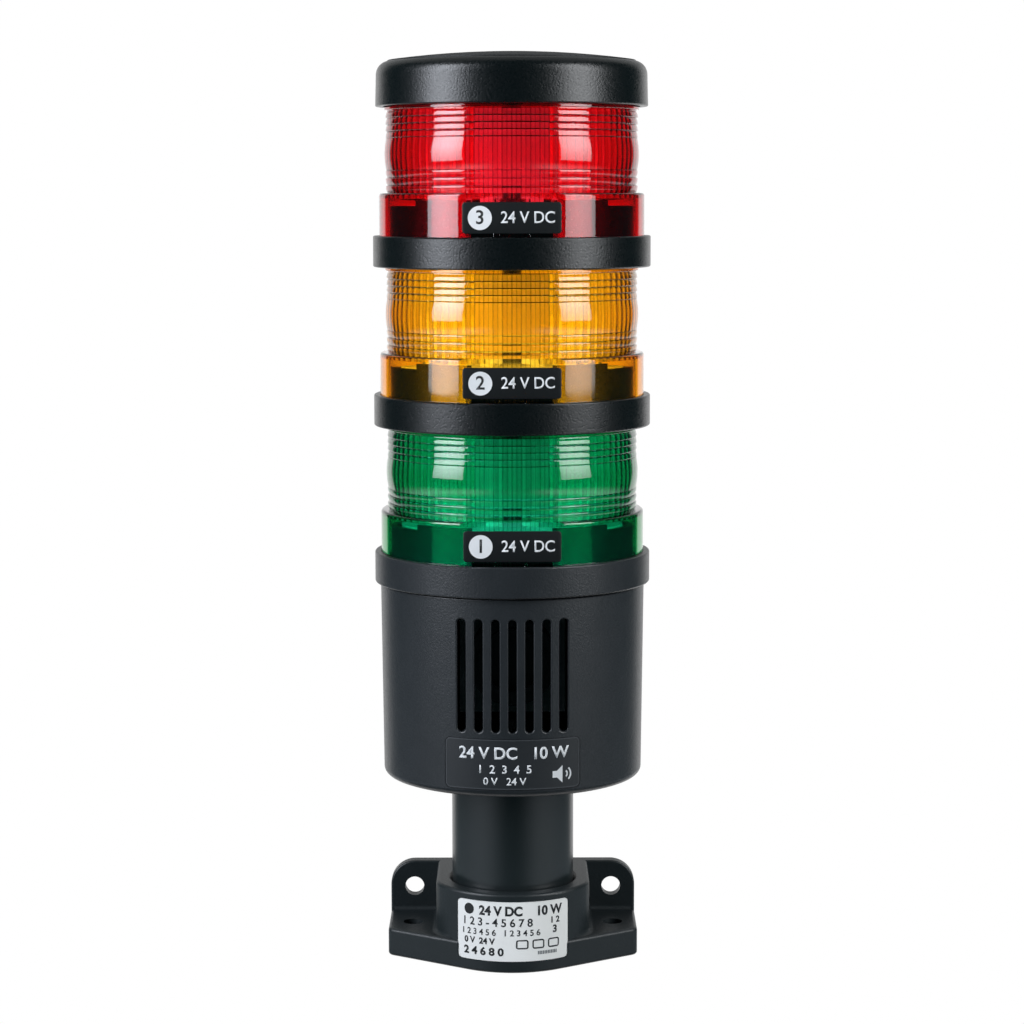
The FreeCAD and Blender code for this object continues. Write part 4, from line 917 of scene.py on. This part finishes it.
def make_world():
    """A white backdrop behind and over the tower and a pale table at both sides, in a dark room. The camera
    sees white all round."""
    world = bpy.data.worlds.new("studio")
    bpy.context.scene.world = world
    world.use_nodes = True
    tree = world.node_tree
    sideways, rearward, upward = split(tree, tree.nodes.new("ShaderNodeTexCoord").outputs["Generated"])
    aside = worked(tree, "ABSOLUTE", sideways)
    table = mixed(tree, table_share(tree, aside, rearward, upward), ROOM_COLOUR, TABLE_COLOUR)
    backdrop = (BACKDROP_RADIANCE, BACKDROP_RADIANCE, BACKDROP_RADIANCE, 1.0)
    room = mixed(tree, backdrop_share(tree, aside, rearward, upward), table, backdrop)
    path = tree.nodes.new("ShaderNodeLightPath")
    seen = mixed(tree, path.outputs["Is Camera Ray"], room, WHITE)
    tree.links.new(seen, tree.nodes["Background"].inputs["Color"])


def fade_edges(light):
    """Makes a softbox dimmer towards its two sides and towards its foot."""
    light.use_nodes = True
    tree = light.node_tree
    spot = tree.nodes.new("ShaderNodeNewGeometry")
    across, upward, _ = split(tree, spot.outputs["Parametric"])
    offset = worked(tree, "SUBTRACT", across, SOFTBOX_MIDDLE)
    sides = ramp(tree, times(tree, offset, offset), 0.0, SOFTBOX_MIDDLE**2, 1.0, 1.0 - SOFTBOX_SIDE_FADE)
    foot = ramp(tree, upward, 0.0, SOFTBOX_FOOT_SHARE, 1.0 - SOFTBOX_FOOT_FADE, 1.0)
    tree.links.new(times(tree, sides, foot), tree.nodes["Emission"].inputs["Strength"])


def make_softboxes():
    """Two tall softboxes, one at each side of the camera."""
    for name, side in SOFTBOX_SIDES.items():
        light = bpy.data.lights.new(f"softbox_{name}", "AREA")
        light.shape = "RECTANGLE"
        light.size = SOFTBOX_WIDTH * MM
        light.size_y = SOFTBOX_HEIGHT * MM
        light.energy = SOFTBOX_RADIANCE[name] * math.pi * light.size * light.size_y
        light.color = SOFTBOX_COLOUR[name]
        fade_edges(light)
        box = bpy.data.objects.new(f"softbox_{name}", light)
        angle = math.radians(SOFTBOX_AZIMUTH_DEGREES[name])
        box.location = Vector((side * math.sin(angle), -math.cos(angle), 0)) * SOFTBOX_DISTANCE * MM
        box.location.z = (SOFTBOX_BOTTOM + SOFTBOX_HEIGHT / 2) * MM
        box.rotation_euler = (math.pi / 2, 0, side * angle)
        bpy.context.scene.collection.objects.link(box)


def make_floor():
    """A white floor that only the camera sees."""
    bm = bmesh.new()
    bmesh.ops.create_grid(bm, x_segments=1, y_segments=1, size=FLOOR_SIZE * MM / 2)
    mesh = bpy.data.meshes.new("floor")
    bm.to_mesh(mesh)
    bm.free()
    material = bpy.data.materials.new("floor_white")
    material.use_nodes = True
    tree = material.node_tree
    glow = tree.nodes.new("ShaderNodeEmission")
    glow.inputs["Color"].default_value = WHITE
    tree.links.new(glow.outputs["Emission"], tree.nodes["Material Output"].inputs["Surface"])
    mesh.materials.append(material)
    floor = bpy.data.objects.new("floor", mesh)
    floor.visible_diffuse = False
    floor.visible_glossy = False
    floor.visible_transmission = False
    floor.visible_shadow = False
    bpy.context.scene.collection.objects.link(floor)


def make_camera():
    """A camera where the photograph's stood."""
    camera = bpy.data.cameras.new("camera")
    camera.sensor_width = SENSOR
    camera.lens = SENSOR * FOCAL_PIXELS / IMAGE_PIXELS
    camera.clip_start = CAMERA_CLIP * MM
    view = bpy.data.objects.new("camera", camera)
    view.location = Vector(CAMERA_PLACE) * MM
    yaw = Matrix.Rotation(math.radians(CAMERA_YAW_DEGREES), 3, "Z")
    tilt = Matrix.Rotation(math.radians(90 - CAMERA_DOWN_DEGREES), 3, "X")
    roll = Matrix.Rotation(math.radians(CAMERA_ROLL_DEGREES), 3, "Z")
    view.rotation_euler = (yaw @ tilt @ roll).to_euler()
    bpy.context.scene.collection.objects.link(view)
    bpy.context.scene.camera = view


with open("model.json") as file:
    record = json.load(file)
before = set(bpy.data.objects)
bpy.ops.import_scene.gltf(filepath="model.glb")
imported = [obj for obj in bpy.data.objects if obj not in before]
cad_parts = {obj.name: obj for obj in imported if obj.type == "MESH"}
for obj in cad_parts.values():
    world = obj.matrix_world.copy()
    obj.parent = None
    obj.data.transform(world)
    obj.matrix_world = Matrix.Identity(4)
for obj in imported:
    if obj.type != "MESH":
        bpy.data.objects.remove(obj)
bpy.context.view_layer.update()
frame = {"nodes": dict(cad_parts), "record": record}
bpy.context.scene.view_settings.view_transform = "Standard"
materials = make_materials()
finish_packed_pieces(frame, materials)
lens_form = make_lens_form()
for tier in TIERS:
    make_lens(tier, lens_form, materials[f"lens_{tier}"])
    make_label_plate(tier, materials["label_black"])
    make_label_print(tier, materials["print_white"], materials["print_black"])
lens_form.free()
make_housing_print(materials["print_white"], materials["painted_rim_highlight"])
make_rating_print(materials["print_black"], materials["print_grey"])
make_world()
make_softboxes()
make_floor()
make_camera()
